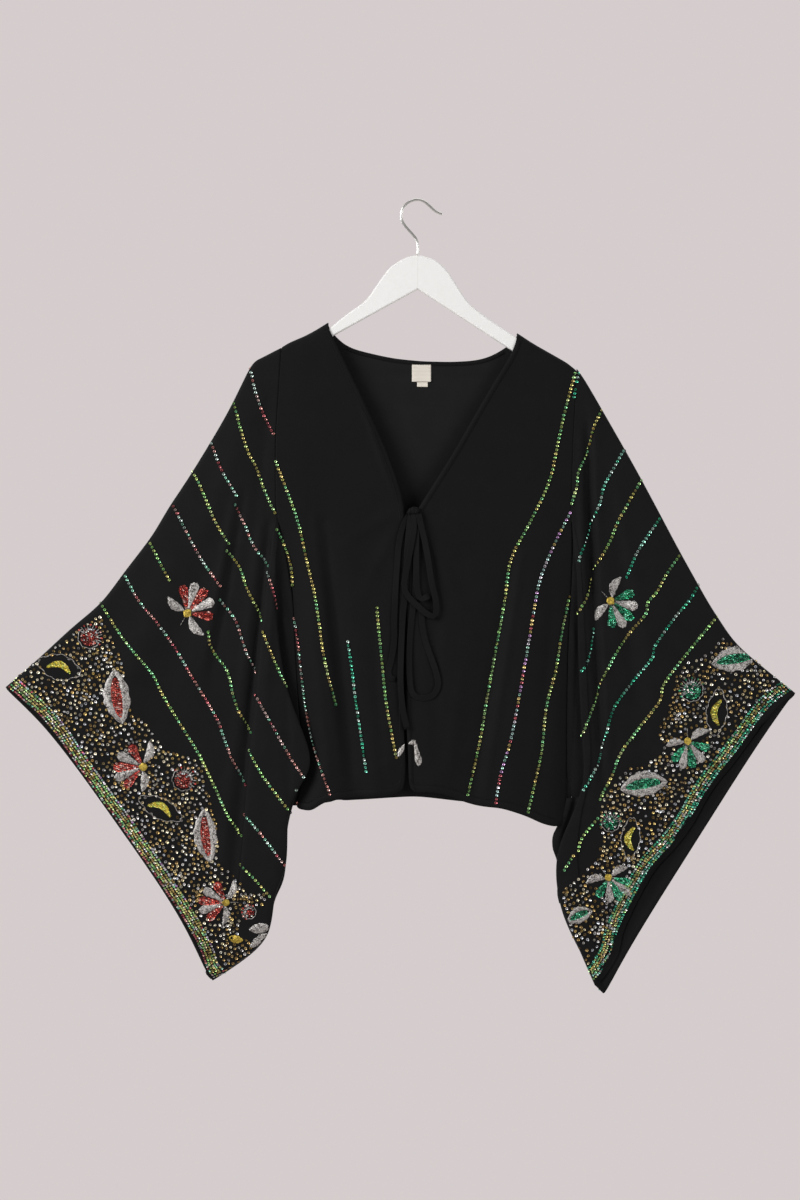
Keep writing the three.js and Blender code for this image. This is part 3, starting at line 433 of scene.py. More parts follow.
def smooth_route(points: Sequence[Point2], pitch: float) -> list[tuple[Point2, Point2]]:
    """Walk a smooth curve through points at an even pitch.

    Args:
        points: Points of the route, in millimetres.
        pitch: Distance between two stops, in millimetres.

    Returns:
        Each stop with the unit direction of the route there.
    """
    given = np.array(points, float)
    padded = np.vstack([2 * given[0] - given[1], given, 2 * given[-1] - given[-2]])
    dense = []
    for i in range(1, len(padded) - 2):
        a, b, c, d = padded[i - 1:i + 3]
        for t in np.linspace(0, 1, 16, endpoint=False):
            dense.append(b + t / 2 * (c - a + t * (2 * a - 5 * b + 4 * c - d + t * (3 * b - a - 3 * c + d))))
    dense.append(padded[-2])
    line = np.array(dense)
    steps = np.linalg.norm(np.diff(line, axis=0), axis=1)
    run = np.concatenate([[0], np.cumsum(steps)])
    count = max(2, int(run[-1] / pitch) + 1)
    at = np.linspace(0, run[-1], count)
    stops = np.stack([np.interp(at, run, line[:, k]) for k in (0, 1)], axis=1)
    ahead = np.gradient(stops, axis=0)
    ahead /= np.linalg.norm(ahead, axis=1, keepdims=True)
    return [((float(p[0]), float(p[1])), (float(q[0]), float(q[1]))) for p, q in zip(stops, ahead)]


def keep(piece: Piece, material: Finish) -> Piece:
    """Put a finished piece into the scene on the one rigid body.

    Args:
        piece: The piece, in place.
        material: Its finish.

    Returns:
        The same piece.
    """
    piece.data.materials.clear()
    piece.data.materials.append(material)
    if piece.name not in bpy.context.scene.collection.objects:
        bpy.context.scene.collection.objects.link(piece)
    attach(piece, "root")
    LOG.info("%s: %d faces", piece.name, len(piece.data.polygons))
    return piece


def mesh_piece(name: str, points: Sequence, faces: Sequence, smooth: bool = True) -> Piece:
    """Make an object from points in metres and faces.

    Args:
        name: Name of the piece.
        points: Corners.
        faces: Lists of corner numbers.
        smooth: Whether the faces are shaded smooth.

    Returns:
        The object, not yet in the scene.
    """
    mesh = bpy.data.meshes.new(name)
    mesh.from_pydata([tuple(p) for p in points], [], [tuple(f) for f in faces])
    mesh.validate()
    if smooth:
        mesh.shade_smooth()
    else:
        mesh.shade_flat()
    return bpy.data.objects.new(name, mesh)


def solid_form(node: str) -> bmesh.types.BMesh:
    """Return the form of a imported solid, with its points joined."""
    form = bmesh.new()
    form.from_mesh(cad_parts[node].data)
    bmesh.ops.remove_doubles(form, verts=form.verts, dist=0.001 * MM)
    return form


def soften(piece: Piece, levels: int) -> None:
    """Round a piece's facets by a number of subdivisions."""
    rounding = piece.modifiers.new("rounding", "SUBSURF")
    rounding.levels = levels
    rounding.render_levels = levels


def ring_faces(rings: int, count: int, first: int = 0, closed: bool = False) -> list[tuple[int, ...]]:
    """Join rings of points, each to the next.

    Args:
        rings: Number of rings.
        count: Points in each ring.
        first: Number of the first ring's first point.
        closed: Whether the last ring is joined to the first.

    Returns:
        The faces between the rings.
    """
    faces = []
    for i in range(rings if closed else rings - 1):
        a, b = first + i * count, first + (i + 1) % rings * count
        faces.extend((a + k, a + (k + 1) % count, b + (k + 1) % count, b + k) for k in range(count))
    return faces


def shell_faces(rows: int, columns: int) -> list[tuple[int, ...]]:
    """Join two grids of points, one behind the other, to a closed shell.

    Args:
        rows: Steps down each grid.
        columns: Steps across it.

    Returns:
        The faces of both grids and of the rim between them.
    """
    wide = columns + 1
    size = wide * (rows + 1)
    faces = []
    for i in range(rows):
        for j in range(columns):
            a = i * wide + j
            b = a + size
            faces.append((a, a + wide, a + wide + 1, a + 1))
            faces.append((b, b + 1, b + wide + 1, b + wide))
    rim = list(range(columns)) + [i * wide + columns for i in range(rows)]
    rim += [rows * wide + j for j in range(columns, 0, -1)] + [i * wide for i in range(rows, 0, -1)]
    return faces + [(a, b, b + size, a + size) for a, b in zip(rim, [*rim[1:], rim[0]])]


@dataclass(frozen=True)
class Crease:
    """Soft ridge, or a trough where height is negative, along a line in the cloth's plane."""

    start: Point2
    end: Point2
    width: float
    height: float

    def lift(self, x: np.ndarray, z: np.ndarray) -> np.ndarray:
        """Give the height that the crease adds to the cloth.

        Args:
            x: Places across, in millimetres.
            z: Heights, in millimetres.

        Returns:
            Millimetres outwards, fading at both ends of the crease.
        """
        run = np.subtract(self.end, self.start)
        length = float(np.hypot(*run))
        share = ((x - self.start[0]) * run[0] + (z - self.start[1]) * run[1]) / length ** 2
        apart = ((x - self.start[0]) * run[1] - (z - self.start[1]) * run[0]) / length
        inside = np.clip(share, 0, 1)
        fade = np.sin(np.pi * (0.08 + 0.84 * inside)) ** 0.7
        beyond = (share - inside) * length
        return self.height * fade * np.exp(-(apart ** 2 + beyond ** 2) / self.width ** 2)


def creases(*rows: tuple[float, float, float, float, float, float]) -> tuple[Crease, ...]:
    """Return a crease for each row of its start, end, width and height."""
    return tuple(Crease(row[:2], row[2:4], *row[4:]) for row in rows)


@dataclass
class ClothPanel:
    """One cut panel of the garment, as a thin shell on its solid's form."""

    node: str
    cut: tuple[float, float]
    area: float
    levels: int = 2
    front: Sequence[Crease] = ()
    back: Sequence[Crease] = ()
    rim_edge: float = 1.5
    rim_angle: float = 50.0
    turn_depth: tuple[float, float] = (2.0, 5.0)

    def build(self, finish: Finish, reverse: Finish) -> Piece:
        """Smooth the panel's form, press in its creases and hang it.

        Args:
            finish: The cloth's right side.
            reverse: The cloth's wrong side, which shows inside the neck and the cuffs.

        Returns:
            The dressed panel, which replaces its solid.
        """
        mesh = self.smooth_form()
        self.press(mesh)
        piece = keep(bpy.data.objects.new(f"cloth_{self.node}", mesh), finish)
        mesh.materials.append(reverse)
        for face in mesh.polygons:
            if face.normal.y * face.center.y < 0 and abs(face.normal.y) > 0.3:
                face.material_index = 1
        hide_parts(self.node)
        return piece

    def smooth_form(self) -> bpy.types.Mesh:
        """Round the solid's facets, with the cloth's cut edges kept where they are.

        Returns:
            A fine mesh of the panel's wall.
        """
        form = solid_form(self.node)
        bmesh.ops.join_triangles(
            form, faces=form.faces, angle_face_threshold=math.pi, angle_shape_threshold=math.pi,
        )
        crease = form.edges.layers.float.new("crease_edge")
        rims = {f for f in form.faces if min(e.calc_length() for e in f.edges) < self.rim_edge * MM}
        for edge in form.edges:
            if len(edge.link_faces) == 2 and sum(f in rims for f in edge.link_faces) == 1:
                if edge.calc_face_angle(0) > math.radians(self.rim_angle):
                    edge[crease] = 1.0
        coarse = bpy.data.meshes.new("coarse")
        form.to_mesh(coarse)
        form.free()
        holder = bpy.data.objects.new("coarse", coarse)
        bpy.context.scene.collection.objects.link(holder)
        soften(holder, self.levels)
        fine = bpy.data.meshes.new_from_object(holder.evaluated_get(bpy.context.evaluated_depsgraph_get()))
        bpy.data.objects.remove(holder)
        bpy.data.meshes.remove(coarse)
        fine.name = f"cloth_{self.node}"
        fine.shade_smooth()
        return fine

    def press(self, mesh: bpy.types.Mesh) -> None:
        """Move the wall's points by the creases, more the further they are from a fold.

        Args:
            mesh: The panel's wall, which is changed.
        """
        places = np.zeros(len(mesh.vertices) * 3)
        mesh.vertices.foreach_get("co", places)
        places = places.reshape(-1, 3) / MM
        x, y, z = places.T
        for side, creases in ((Side.FRONT, self.front), (Side.BACK, self.back)):
            away = y * side.value
            low, high = self.turn_depth
            share = np.clip((away - low) / (high - low), 0, 1)
            weight = share * share * (3 - 2 * share)
            for crease in creases:
                places[:, 1] += side.value * weight * crease.lift(x, z)
        mesh.vertices.foreach_set("co", (places * MM).ravel())
        mesh.update()


@dataclass(frozen=True)
class Spot:
    """Place on the cloth's surface, in metres, with the way that the surface faces."""

    point: Vector
    normal: Vector


class ClothSurface:
    """The hung cloth as it is met from the front or from behind."""

    REACH = 0.3

    def __init__(self, panels: Iterable[Piece]) -> None:
        """Take in the dressed panels.

        Args:
            panels: The panels, in place.
        """
        points: list[Vector] = []
        faces: list[list[int]] = []
        self.owners: list[str] = []
        for panel in panels:
            start = len(points)
            points.extend(v.co.copy() for v in panel.data.vertices)
            faces.extend([i + start for i in p.vertices] for p in panel.data.polygons)
            self.owners.extend(panel.name for _ in panel.data.polygons)
        self.tree = BVHTree.FromPolygons(points, faces)

    def meet(self, place: Point2, side: Side, panel: str = "") -> Spot | None:
        """Find the cloth that shows at a place.

        Args:
            place: Place in the cloth's plane, in millimetres.
            side: Side that the place is seen from.
            panel: Name of the panel that has to show there, or nothing for any.

        Returns:
            The spot, or None where no cloth shows.
        """
        start = Vector((place[0] * MM, side.value * self.REACH, place[1] * MM))
        point, normal, face, _ = self.tree.ray_cast(start, Vector((0, -side.value, 0)), 2 * self.REACH)
        if point is None or (panel and self.owners[face] != panel):
            return None
        if normal.y * side.value < 0:
            normal = -normal
        return Spot(point, normal)

    def proud(self, place: Point2, side: Side, reach: float) -> Spot | None:
        """Find the outermost cloth at a place and just beside it.

        Args:
            place: Place in the cloth's plane, in millimetres.
            side: Side that the place is seen from.
            reach: Distance to each side that is looked at too, in millimetres.

        Returns:
            The spot at the place, at the depth of the outermost cloth, or None.
        """
        beside = [self.meet((place[0] + step, place[1]), side) for step in (-reach, 0, reach)]
        found = [spot for spot in beside if spot]
        if not found:
            return None
        outer = max(found, key=lambda spot: spot.point.y * side.value)
        return Spot(Vector((place[0] * MM, outer.point.y, place[1] * MM)), outer.normal)


@dataclass
class SequinString:
    """Cup sequins of one dye and one use, sewn on and joined as one mesh."""

    name: str
    sides: int = 8
    hole: float = 0.42
    cup: float = 0.3
    lift: float = 0.55
    points: list = field(default_factory=list)
    faces: list = field(default_factory=list)
    tints: list = field(default_factory=list)

    def sew(
        self, spot: Spot, radius: float, tint: Sequence[float], tilt: float, dice: random.Random,
    ) -> None:
        """Sew one sequin on.

        Args:
            spot: Where it lies.
            radius: Its outer radius, in millimetres.
            tint: Its linear colour.
            tilt: How far it may lean from the cloth, in degrees.
            dice: Source of its chance lean.
        """
        lean = math.tan(math.radians(tilt))
        up = (spot.normal + Vector((dice.uniform(-lean, lean), 0, dice.uniform(-lean, lean)))).normalized()
        across = up.orthogonal().normalized()
        along = up.cross(across)
        centre = spot.point + spot.normal * (self.lift * MM)
        first = len(self.points)
        turn = dice.uniform(0, math.tau)
        for share, height in ((1.0, self.cup), (self.hole, 0.0)):
            for k in range(self.sides):
                angle = turn + math.tau * k / self.sides
                reach = radius * MM * share
                self.points.append(
                    centre + across * (reach * math.cos(angle)) + along * (reach * math.sin(angle))
                    + up * (height * radius * MM)
                )
                self.tints.append(tint)
        self.faces.extend(ring_faces(2, self.sides, first))

    def build(self, finish: Finish, slot: Slot) -> Piece | None:
        """Join the sequins.

        Args:
            finish: The film's material.
            slot: The record's slot; not used.

        Returns:
            The piece, or None if nothing was sewn.
        """
        if not self.points:
            return None
        piece = mesh_piece(self.name, self.points, self.faces, smooth=False)
        tint = piece.data.color_attributes.new("tint", "FLOAT_COLOR", "POINT")
        tint.data.foreach_set("color", np.array(self.tints, np.float32).ravel())
        return keep(piece, finish)


@dataclass
class Sewing:
    """The embroiderer's frame: the cloth, the strings of sequins and the zari patches."""

    LONGEST_STEP = 12.0
    SEQUIN_FACING = 0.35
    ZARI_FACING = 0.4
    THREAD_SIDES = 5

    surface: ClothSurface
    dice: random.Random
    strings: dict[tuple[str, Dye], SequinString] = field(default_factory=dict)
    patches: dict[str, tuple[list, list]] = field(default_factory=dict)

    def sequin(
        self, use: str, dye: Dye, place: Point2, side: Side, radius: float, tilt: float = 9.0,
        shade: float | None = None, panel: str = "", dimmest: float = 0.75,
    ) -> None:
        """Sew one sequin where cloth shows.

        Args:
            use: What the sequin is part of, such as stripes.
            dye: Its dye.
            place: Its place, in millimetres.
            side: The garment's side.
            radius: Its radius, in millimetres.
            tilt: How far it may lean, in degrees.
            shade: Which of the dye's shades it has, from 0 to 1, or None for a chance one.
            panel: The panel that it has to lie on, or nothing for any.
            dimmest: Least share of the dye's brightness that it may have.
        """
        spot = self.surface.meet(place, side, panel)
        if spot is None or abs(spot.normal.y) < self.SEQUIN_FACING:
            return
        shades = dye.value
        pick = self.dice.random() if shade is None else shade
        tint = linear(shades[int(pick * len(shades)) % len(shades)])
        # Painted shade: each sequin's colour is darkened by a chance share, standing in for sequins whose
        # reflection turns away from the lights.
        painted_light_share = self.dice.uniform(dimmest, 1.0)
        tint = (tint[0] * painted_light_share, tint[1] * painted_light_share, tint[2] * painted_light_share, 1.0)
        string = self.strings.setdefault((use, dye), SequinString(f"sequins_{use}_{dye.name.lower()}"))
        string.sew(spot, radius, tint, tilt, self.dice)

    def patch(self, kind: str, grid: Sequence[Sequence[tuple[Point2, float]]], side: Side) -> None:
        """Lay a padded patch of zari on the cloth.

        Args:
            kind: Name of the thread.
            grid: Rows of places, each with its height over the cloth, in millimetres.
            side: The garment's side.
        """
        points, faces = self.patches.setdefault(kind, ([], []))
        corners: dict[tuple[int, int], int] = {}
        for i, row in enumerate(grid):
            for j, (place, height) in enumerate(row):
                spot = self.surface.meet(place, side)
                if spot is not None and abs(spot.normal.y) > self.ZARI_FACING:
                    corners[i, j] = len(points)
                    points.append(spot.point + spot.normal * (height * MM))
        for i, j in corners:
            square = ((i, j), (i, j + 1), (i + 1, j + 1), (i + 1, j))
            if all(corner in corners for corner in square):
                places = [points[corners[corner]] for corner in square]
                if max((a - b).length for a in places for b in places) < self.LONGEST_STEP * MM:
                    faces.append(tuple(corners[corner] for corner in square))

    def thread(
        self, kind: str, route: Sequence[Point2], side: Side, radius: float, closed: bool = False,
        lift: float = 0.8,
    ) -> None:
        """Couch a round thread down along a route.

        Args:
            kind: Name of the thread.
            route: Places of its line, in millimetres.
            side: The garment's side.
            radius: The thread's radius, in millimetres.
            closed: Whether its end meets its start.
            lift: Height of its middle over the cloth, in radii.
        """
        runs: list[list[Spot]] = [[]]
        for place in route:
            spot = self.surface.meet(place, side)
            if spot is None:
                runs.append([])
            else:
                runs[-1].append(spot)
        for run in runs:
            if len(run) > 1:
                self.couch(kind, run, radius, closed and len(runs) == 1, lift)

    def couch(self, kind: str, spots: Sequence[Spot], radius: float, closed: bool, lift: float) -> None:
        """Form the round thread over spots of the cloth.

        Args:
            kind: Name of the thread.
            spots: Spots under its line.
            radius: The thread's radius, in millimetres.
            closed: Whether its end meets its start.
            lift: Height of its middle over the cloth, in radii.
        """
        points, faces = self.patches.setdefault(kind, ([], []))
        first = len(points)
        sides = self.THREAD_SIDES
        count = len(spots)
        for i, spot in enumerate(spots):
            before = spots[i - 1 if closed or i else 0].point
            after = spots[(i + 1) % count if closed else min(i + 1, count - 1)].point
            ahead = (after - before).normalized()
            out = ahead.cross(spot.normal).normalized()
            for k in range(sides):
                angle = math.tau * k / sides
                push = out * math.cos(angle) + spot.normal * (math.sin(angle) + lift)
                points.append(spot.point + push * (radius * MM))
        faces.extend(ring_faces(count, sides, first, closed))
        if not closed:
            faces.append(tuple(first + k for k in range(sides)))
            faces.append(tuple(first + (count - 1) * sides + k for k in reversed(range(sides))))

    def build(self, cloth: Finish) -> None:
        """Turn all that was sewn into pieces.

        Args:
            cloth: The garment's own cloth, which its stitches match.
        """
        films = {
            slot: MetallisedFilm(f"metallised_film_{slot.value}").material()
            for slot in (Slot.GOLD, Slot.SILVER, Slot.GREEN, Slot.ROSE)
        }
        for (_, dye), string in self.strings.items():
            string.build(films[DYE_SLOTS[dye]], DYE_SLOTS[dye])
        # The second colour of each zari is painted shade for the gaps between its coils.
        threads = {
            "silver": (ZariCoil("silver_zari", "#dedad6", "#4e4a48").material(), Slot.SILVER),
            "gold": (ZariCoil("gold_zari", "#e8cd62", "#7d6420").material(), Slot.GOLD),
            "stitch": (cloth, Slot.CREPE),
        }
        for kind, (points, faces) in self.patches.items():
            finish, slot = threads[kind]
            keep(mesh_piece(f"embroidery_{kind}", points, faces), finish)


class BladeForm(Enum):
    """Outline of a petal or leaf."""

    LEAF = "leaf"
    WEDGE = "wedge"


@dataclass(frozen=True)
class Blade:
    """Petal or leaf that grows from a base point along a gently bent line."""

    base: Point2
    angle: float
    length: float
    width: float
    form: BladeForm = BladeForm.LEAF
    bend: float = 0.0

    ROOT = 0.22
    SHOULDER = 0.75

    def half_width(self, share: float) -> float:
        """Give half the width of the blade.

        Args:
            share: Share of the length from the base.

        Returns:
            Half the width there, in millimetres.
        """
        if self.form is BladeForm.LEAF:
            return self.width / 2 * math.sin(math.pi * min(max(share, 0), 1)) ** 0.75
        body = self.ROOT + (1 - self.ROOT) * min(share / self.SHOULDER, 1)
        end = math.sqrt(max(0.0, 1 - max(0.0, (share - self.SHOULDER) / (1 - self.SHOULDER)) ** 2))
        return self.width / 2 * body * end

    def place(self, share: float, across: float) -> Point2:
        """Give a place in the blade.

        Args:
            share: Share of the length from the base.
            across: Millimetres to the left of its middle line.

        Returns:
            The place, in millimetres.
        """
        along = share * self.length
        sideways = across + self.bend * math.sin(math.pi * share)
        return turned(self.base, self.angle, along, sideways)

    def zari(self, sewing: Sewing, side: Side, kind: str, rows: int = 10, columns: int = 5) -> None:
        """Cover the blade with padded zari.

        Args:
            sewing: The frame that it is sewn on.
            side: The garment's side.
            kind: Name of the thread.
            rows: Steps along the blade.
            columns: Steps across it.
        """
        grid = []
        for i in range(rows + 1):
            share = 0.02 + 0.96 * i / rows
            half = self.half_width(share) + 0.25
            ruffle = 1 + 0.1 * math.sin(i * 2.4 + self.angle)
            row = []
            for j in range(columns + 1):
                s = 2 * j / columns - 1
                row.append((self.place(share, half * ruffle * s), 0.25 + 0.9 * (1 - s * s)))
            grid.append(row)
        sewing.patch(kind, grid, side)

    def sequins(self, sewing: Sewing, side: Side, dye: Dye, radius: float = 1.45) -> None:
        """Fill the blade with rows of sequins.

        Args:
            sewing: The frame that they are sewn on.
            side: The garment's side.
            dye: Their dye.
            radius: Their radius, in millimetres.
        """
        pitch = radius * 1.85
        rows = max(2, round(self.length / pitch))
        for i in range(rows):
            share = (i + 0.5) / rows
            half = max(0.0, self.half_width(share) - radius * 0.5)
            for across in spread(half, pitch):
                sewing.sequin("motifs", dye, self.place(share, across), side, radius, tilt=14, dimmest=0.5)


@dataclass(frozen=True)
class Flower:
    """Half-open flower: a gold bud, a fan of petals in sequins and zari, and two sepals."""

    centre: Point2
    angle: float
    dye: Dye
    size: float = 1.0
    hand: int = 1

    # Each petal's turn, length and width, and whether it is filled with sequins.
    PETALS = (
        (48, 37, 11, True), (23, 42, 12.5, False), (0, 40, 12.5, True), (-27, 39, 13, False),
        (-60, 34, 12, True),
    )
    # Each sepal's turn, length, width and bend.
    SEPALS = ((88, 34, 11, 3.5), (-105, 37, 11.5, -4.5))
    BUD_REACH = 6.5
    BUD_LENGTH = 12.5
    BUD_WIDTH = 11
    RAYS = 7
    RAY_STEP = 20
    STEM_TURN = 188
    STEM_STITCHES = 3
    STEM_PITCH = 4

    def sew(self, sewing: Sewing, side: Side) -> None:
        """Sew the flower.

        Args:
            sewing: The frame that it is sewn on.
            side: The garment's side.
        """
        start = self.BUD_REACH * self.size
        for turn, length, width, sequinned in self.PETALS:
            angle = self.angle + self.hand * turn
            base = turned(self.centre, angle, start)
            blade = Blade(base, angle, (length - 6) * self.size, width * self.size, BladeForm.WEDGE)
            if sequinned:
                blade.sequins(sewing, side, self.dye)
            else:
                blade.zari(sewing, side, "silver")
        for turn, length, width, bend in self.SEPALS:
            angle = self.angle + self.hand * turn
            base = turned(self.centre, angle, start * 0.8)
            sepal = Blade(base, angle, (length - 5) * self.size, width * self.size, bend=self.hand * bend)
            sepal.zari(sewing, side, "silver")
        tail = turned(self.centre, self.angle + 180, start)
        bud = Blade(tail, self.angle, self.BUD_LENGTH * self.size, self.BUD_WIDTH * self.size)
        bud.zari(sewing, side, "gold", rows=6)
        for k in range(self.RAYS):
            angle = self.angle + self.RAY_STEP * (k - self.RAYS // 2)
            ray = [turned(self.centre, angle, start * reach) for reach in (0.75, 1.5)]
            sewing.thread("silver", ray, side, 0.5)
        stem_angle = self.angle + self.hand * self.STEM_TURN
        for k in range(self.STEM_STITCHES):
            ends = (start + self.STEM_PITCH * k + slip for slip in (0.6, 3.6))
            sewing.thread("silver", [turned(self.centre, stem_angle, end) for end in ends], side, 0.55)

    def bare_ground(self) -> list[tuple[Point2, float]]:
        """Return circles that loose sequins keep out of."""
        found = [(self.centre, 11 * self.size)]
        for turn, length, width, *_ in (*self.PETALS, *self.SEPALS):
            for reach in (0.5, 0.8):
                place = turned(self.centre, self.angle + self.hand * turn, length * reach * self.size)
                found.append((place, (width / 2 + 2.2) * self.size))
        return found


@dataclass(frozen=True)
class EdgedLeaf:
    """Leaf with a strip of small sequins down its middle and a broad scalloped zari edge."""

    centre: Point2
    angle: float
    dye: Dye
    length: float = 70
    width: float = 31

    STEPS = 18
    SCALLOPS = 4.5
    PADDING = 3.4
    STRIP_START = 0.14
    STRIP_SHARE = 0.72
    BOW = 2.5

    def sew(self, sewing: Sewing, side: Side) -> None:
        """Sew the leaf.

        Args:
            sewing: The frame that it is sewn on.
            side: The garment's side.
        """
        for hand in (1, -1):
            grid = []
            for i in range(self.STEPS + 1):
                share = i / self.STEPS
                outer = self.width / 2 * math.sin(math.pi * share) ** 0.8 + 0.4
                outer *= 0.94 + 0.17 * abs(math.sin(share * math.pi * (self.SCALLOPS + hand) + 0.6))
                inner = min(self.strip_half(share), outer - 0.3)
                row = []
                for j in range(5):
                    s = j / 4
                    height = 0.3 + self.PADDING * s * (1 - s)
                    row.append((self.place(share, hand * (inner + (outer - inner) * s)), height))
                grid.append(row)
            sewing.patch("silver", grid, side)
        rows = int(self.length * self.STRIP_SHARE / 2.5)
        for i in range(rows):
            share = self.STRIP_START + self.STRIP_SHARE * i / rows
            for across in spread(self.strip_half(share) - 1.0, 2.4):
                place = self.place(share, across)
                sewing.sequin("motifs", self.dye, place, side, 1.2, tilt=16, dimmest=0.5)

    def strip_half(self, share: float) -> float:
        """Return half the width of the sequin strip at a share of the length."""
        inside = min(max((share - 0.12) / 0.76, 0), 1)
        return self.width * 0.21 * math.sin(math.pi * inside) ** 0.5

    def place(self, share: float, across: float) -> Point2:
        """Return the place at a share of the length and a distance to the left of the middle."""
        sideways = across + self.BOW * math.sin(math.pi * share)
        return turned(self.centre, self.angle, (share - 0.5) * self.length, sideways)

    def bare_ground(self) -> list[tuple[Point2, float]]:
        """Return circles that loose sequins keep out of."""
        ends = ((0.12, 0.22), (0.3, 0.42), (0.5, 0.53), (0.7, 0.42), (0.88, 0.22))
        return [(self.place(share, 0), self.width * reach + 1.5) for share, reach in ends]


@dataclass(frozen=True)
class Crescent:
    """Gold crescent in a bare almond, with a thin scalloped silver thread around it."""

    centre: Point2
    angle: float
    length: float = 40
    width: float = 30

    BAND = 0.86
    HALF = 3.6
    PITCH = 1.9
    BOW = 8
    STEPS = 64
    SCALLOPS = 10

    def sew(self, sewing: Sewing, side: Side) -> None:
        """Sew the crescent.

        Args:
            sewing: The frame that it is sewn on.
            side: The garment's side.
        """
        rows = int(self.length * self.BAND / self.PITCH)
        for i in range(rows):
            share = (i + 0.5) / rows
            arch = math.sin(math.pi * share)
            for across in spread(self.HALF * arch ** 0.6, self.PITCH):
                place = self.place((share - 0.5) * self.BAND, across - self.BOW / 2 + self.BOW * arch)
                sewing.sequin("motifs", Dye.YELLOW, place, side, 1.05, tilt=14)
        route = []
        for k in range(self.STEPS):
            turn = math.tau * k / self.STEPS
            reach = 1 + 0.12 * abs(math.sin(turn * self.SCALLOPS / 2))
            along = math.cos(turn) * (0.56 + abs(math.cos(turn)) ** 6 * 0.18) * reach
            route.append(self.place(along, math.sin(turn) * self.width * 0.46 * reach))
        sewing.thread("silver", route, side, 0.55, closed=True)

    def place(self, along: float, across: float) -> Point2:
        """Return the place at a share of the length and a distance across."""
        return turned(self.centre, self.angle, along * self.length, across)

    def bare_ground(self) -> list[tuple[Point2, float]]:
        """Return circles that loose sequins keep out of."""
        return [(self.place(0, 0), self.width * 0.5), (self.place(0.34, 0), self.width * 0.38),
                (self.place(-0.34, 0), self.width * 0.38)]


@dataclass(frozen=True)
class Blossom:
    """Small round blossom: a head of sequins with silver rays along one side."""

    centre: Point2
    angle: float
    dye: Dye
    radius: float = 13.5

    RING_ROOM = 2.65
    RING_PITCH = 2.7
    SEQUIN_PITCH = 3.0
    RAYS = 13
    RAY_STEP = 15
    CUP_STEPS = 40
    CUP_STEP = 5

    def sew(self, sewing: Sewing, side: Side) -> None:
        """Sew the blossom.

        Args:
            sewing: The frame that it is sewn on.
            side: The garment's side.
        """
        for ring in range(int(self.radius / self.RING_ROOM)):
            reach = ring * self.RING_PITCH
            count = max(1, round(math.tau * reach / self.SEQUIN_PITCH))
            for k in range(count):
                angle = 360 * k / count + 20 * ring
                facing = math.cos(math.radians(angle - self.angle))
                silver = sewing.dice.random() < 0.15 + 0.6 * max(facing, 0) * ring / 4
                dye = Dye.SILVER if silver else self.dye
                place = turned(self.centre, angle, reach)
                sewing.sequin("motifs", dye, place, side, 1.25, tilt=18, dimmest=0.4)
        for k in range(self.RAYS):
            angle = self.angle + self.RAY_STEP * (k - self.RAYS // 2)
            tip = 1.12 + 0.16 * (k % 2)
            ray = [turned(self.centre, angle, self.radius * share) for share in (0.6, 0.9, tip)]
            sewing.thread("silver", ray, side, 0.5)
            if k % 2 == 0:
                sewing.sequin("motifs", self.dye, turned(self.centre, angle, self.radius * 1.22), side, 1.3)
        cup = []
        for k in range(self.CUP_STEPS + 1):
            scallop = 1.04 + 0.1 * abs(math.sin(math.pi * k / 8))
            angle = self.angle + 180 + self.CUP_STEP * (self.CUP_STEPS / 2 - k)
            cup.append(turned(self.centre, angle, self.radius * scallop))
        sewing.thread("silver", cup, side, 0.6)

    def bare_ground(self) -> list[tuple[Point2, float]]:
        """Return circles that loose sequins keep out of."""
        return [(self.centre, self.radius * 1.2)]


@dataclass(frozen=True)
class LoneLeaf:
    """Single padded leaf of one thread."""

    blade: Blade
    kind: str

    def sew(self, sewing: Sewing, side: Side) -> None:
        """Sew the leaf on one side of the garment."""
        self.blade.zari(sewing, side, self.kind)

    def bare_ground(self) -> list[tuple[Point2, float]]:
        """Return circles that loose sequins keep out of."""
        return [(self.blade.place(share, 0), self.blade.width * 0.55 + 1.5) for share in (0.25, 0.5, 0.75)]


Motif = Flower | EdgedLeaf | Crescent | Blossom | LoneLeaf


@dataclass(frozen=True)
class Stripe:
    """Single string of sequins along a route, in pixels of the photograph."""

    dye: Dye
    route: Sequence[Point2]


@dataclass(frozen=True)
class SleeveBack:
    """Stripes on the back of one sleeve: where they start, which way they run, and their dyes."""

    panel: str
    starts: Sequence[Point2]
    heading: Point2
    dyes: Sequence[Dye]
    first_number: int


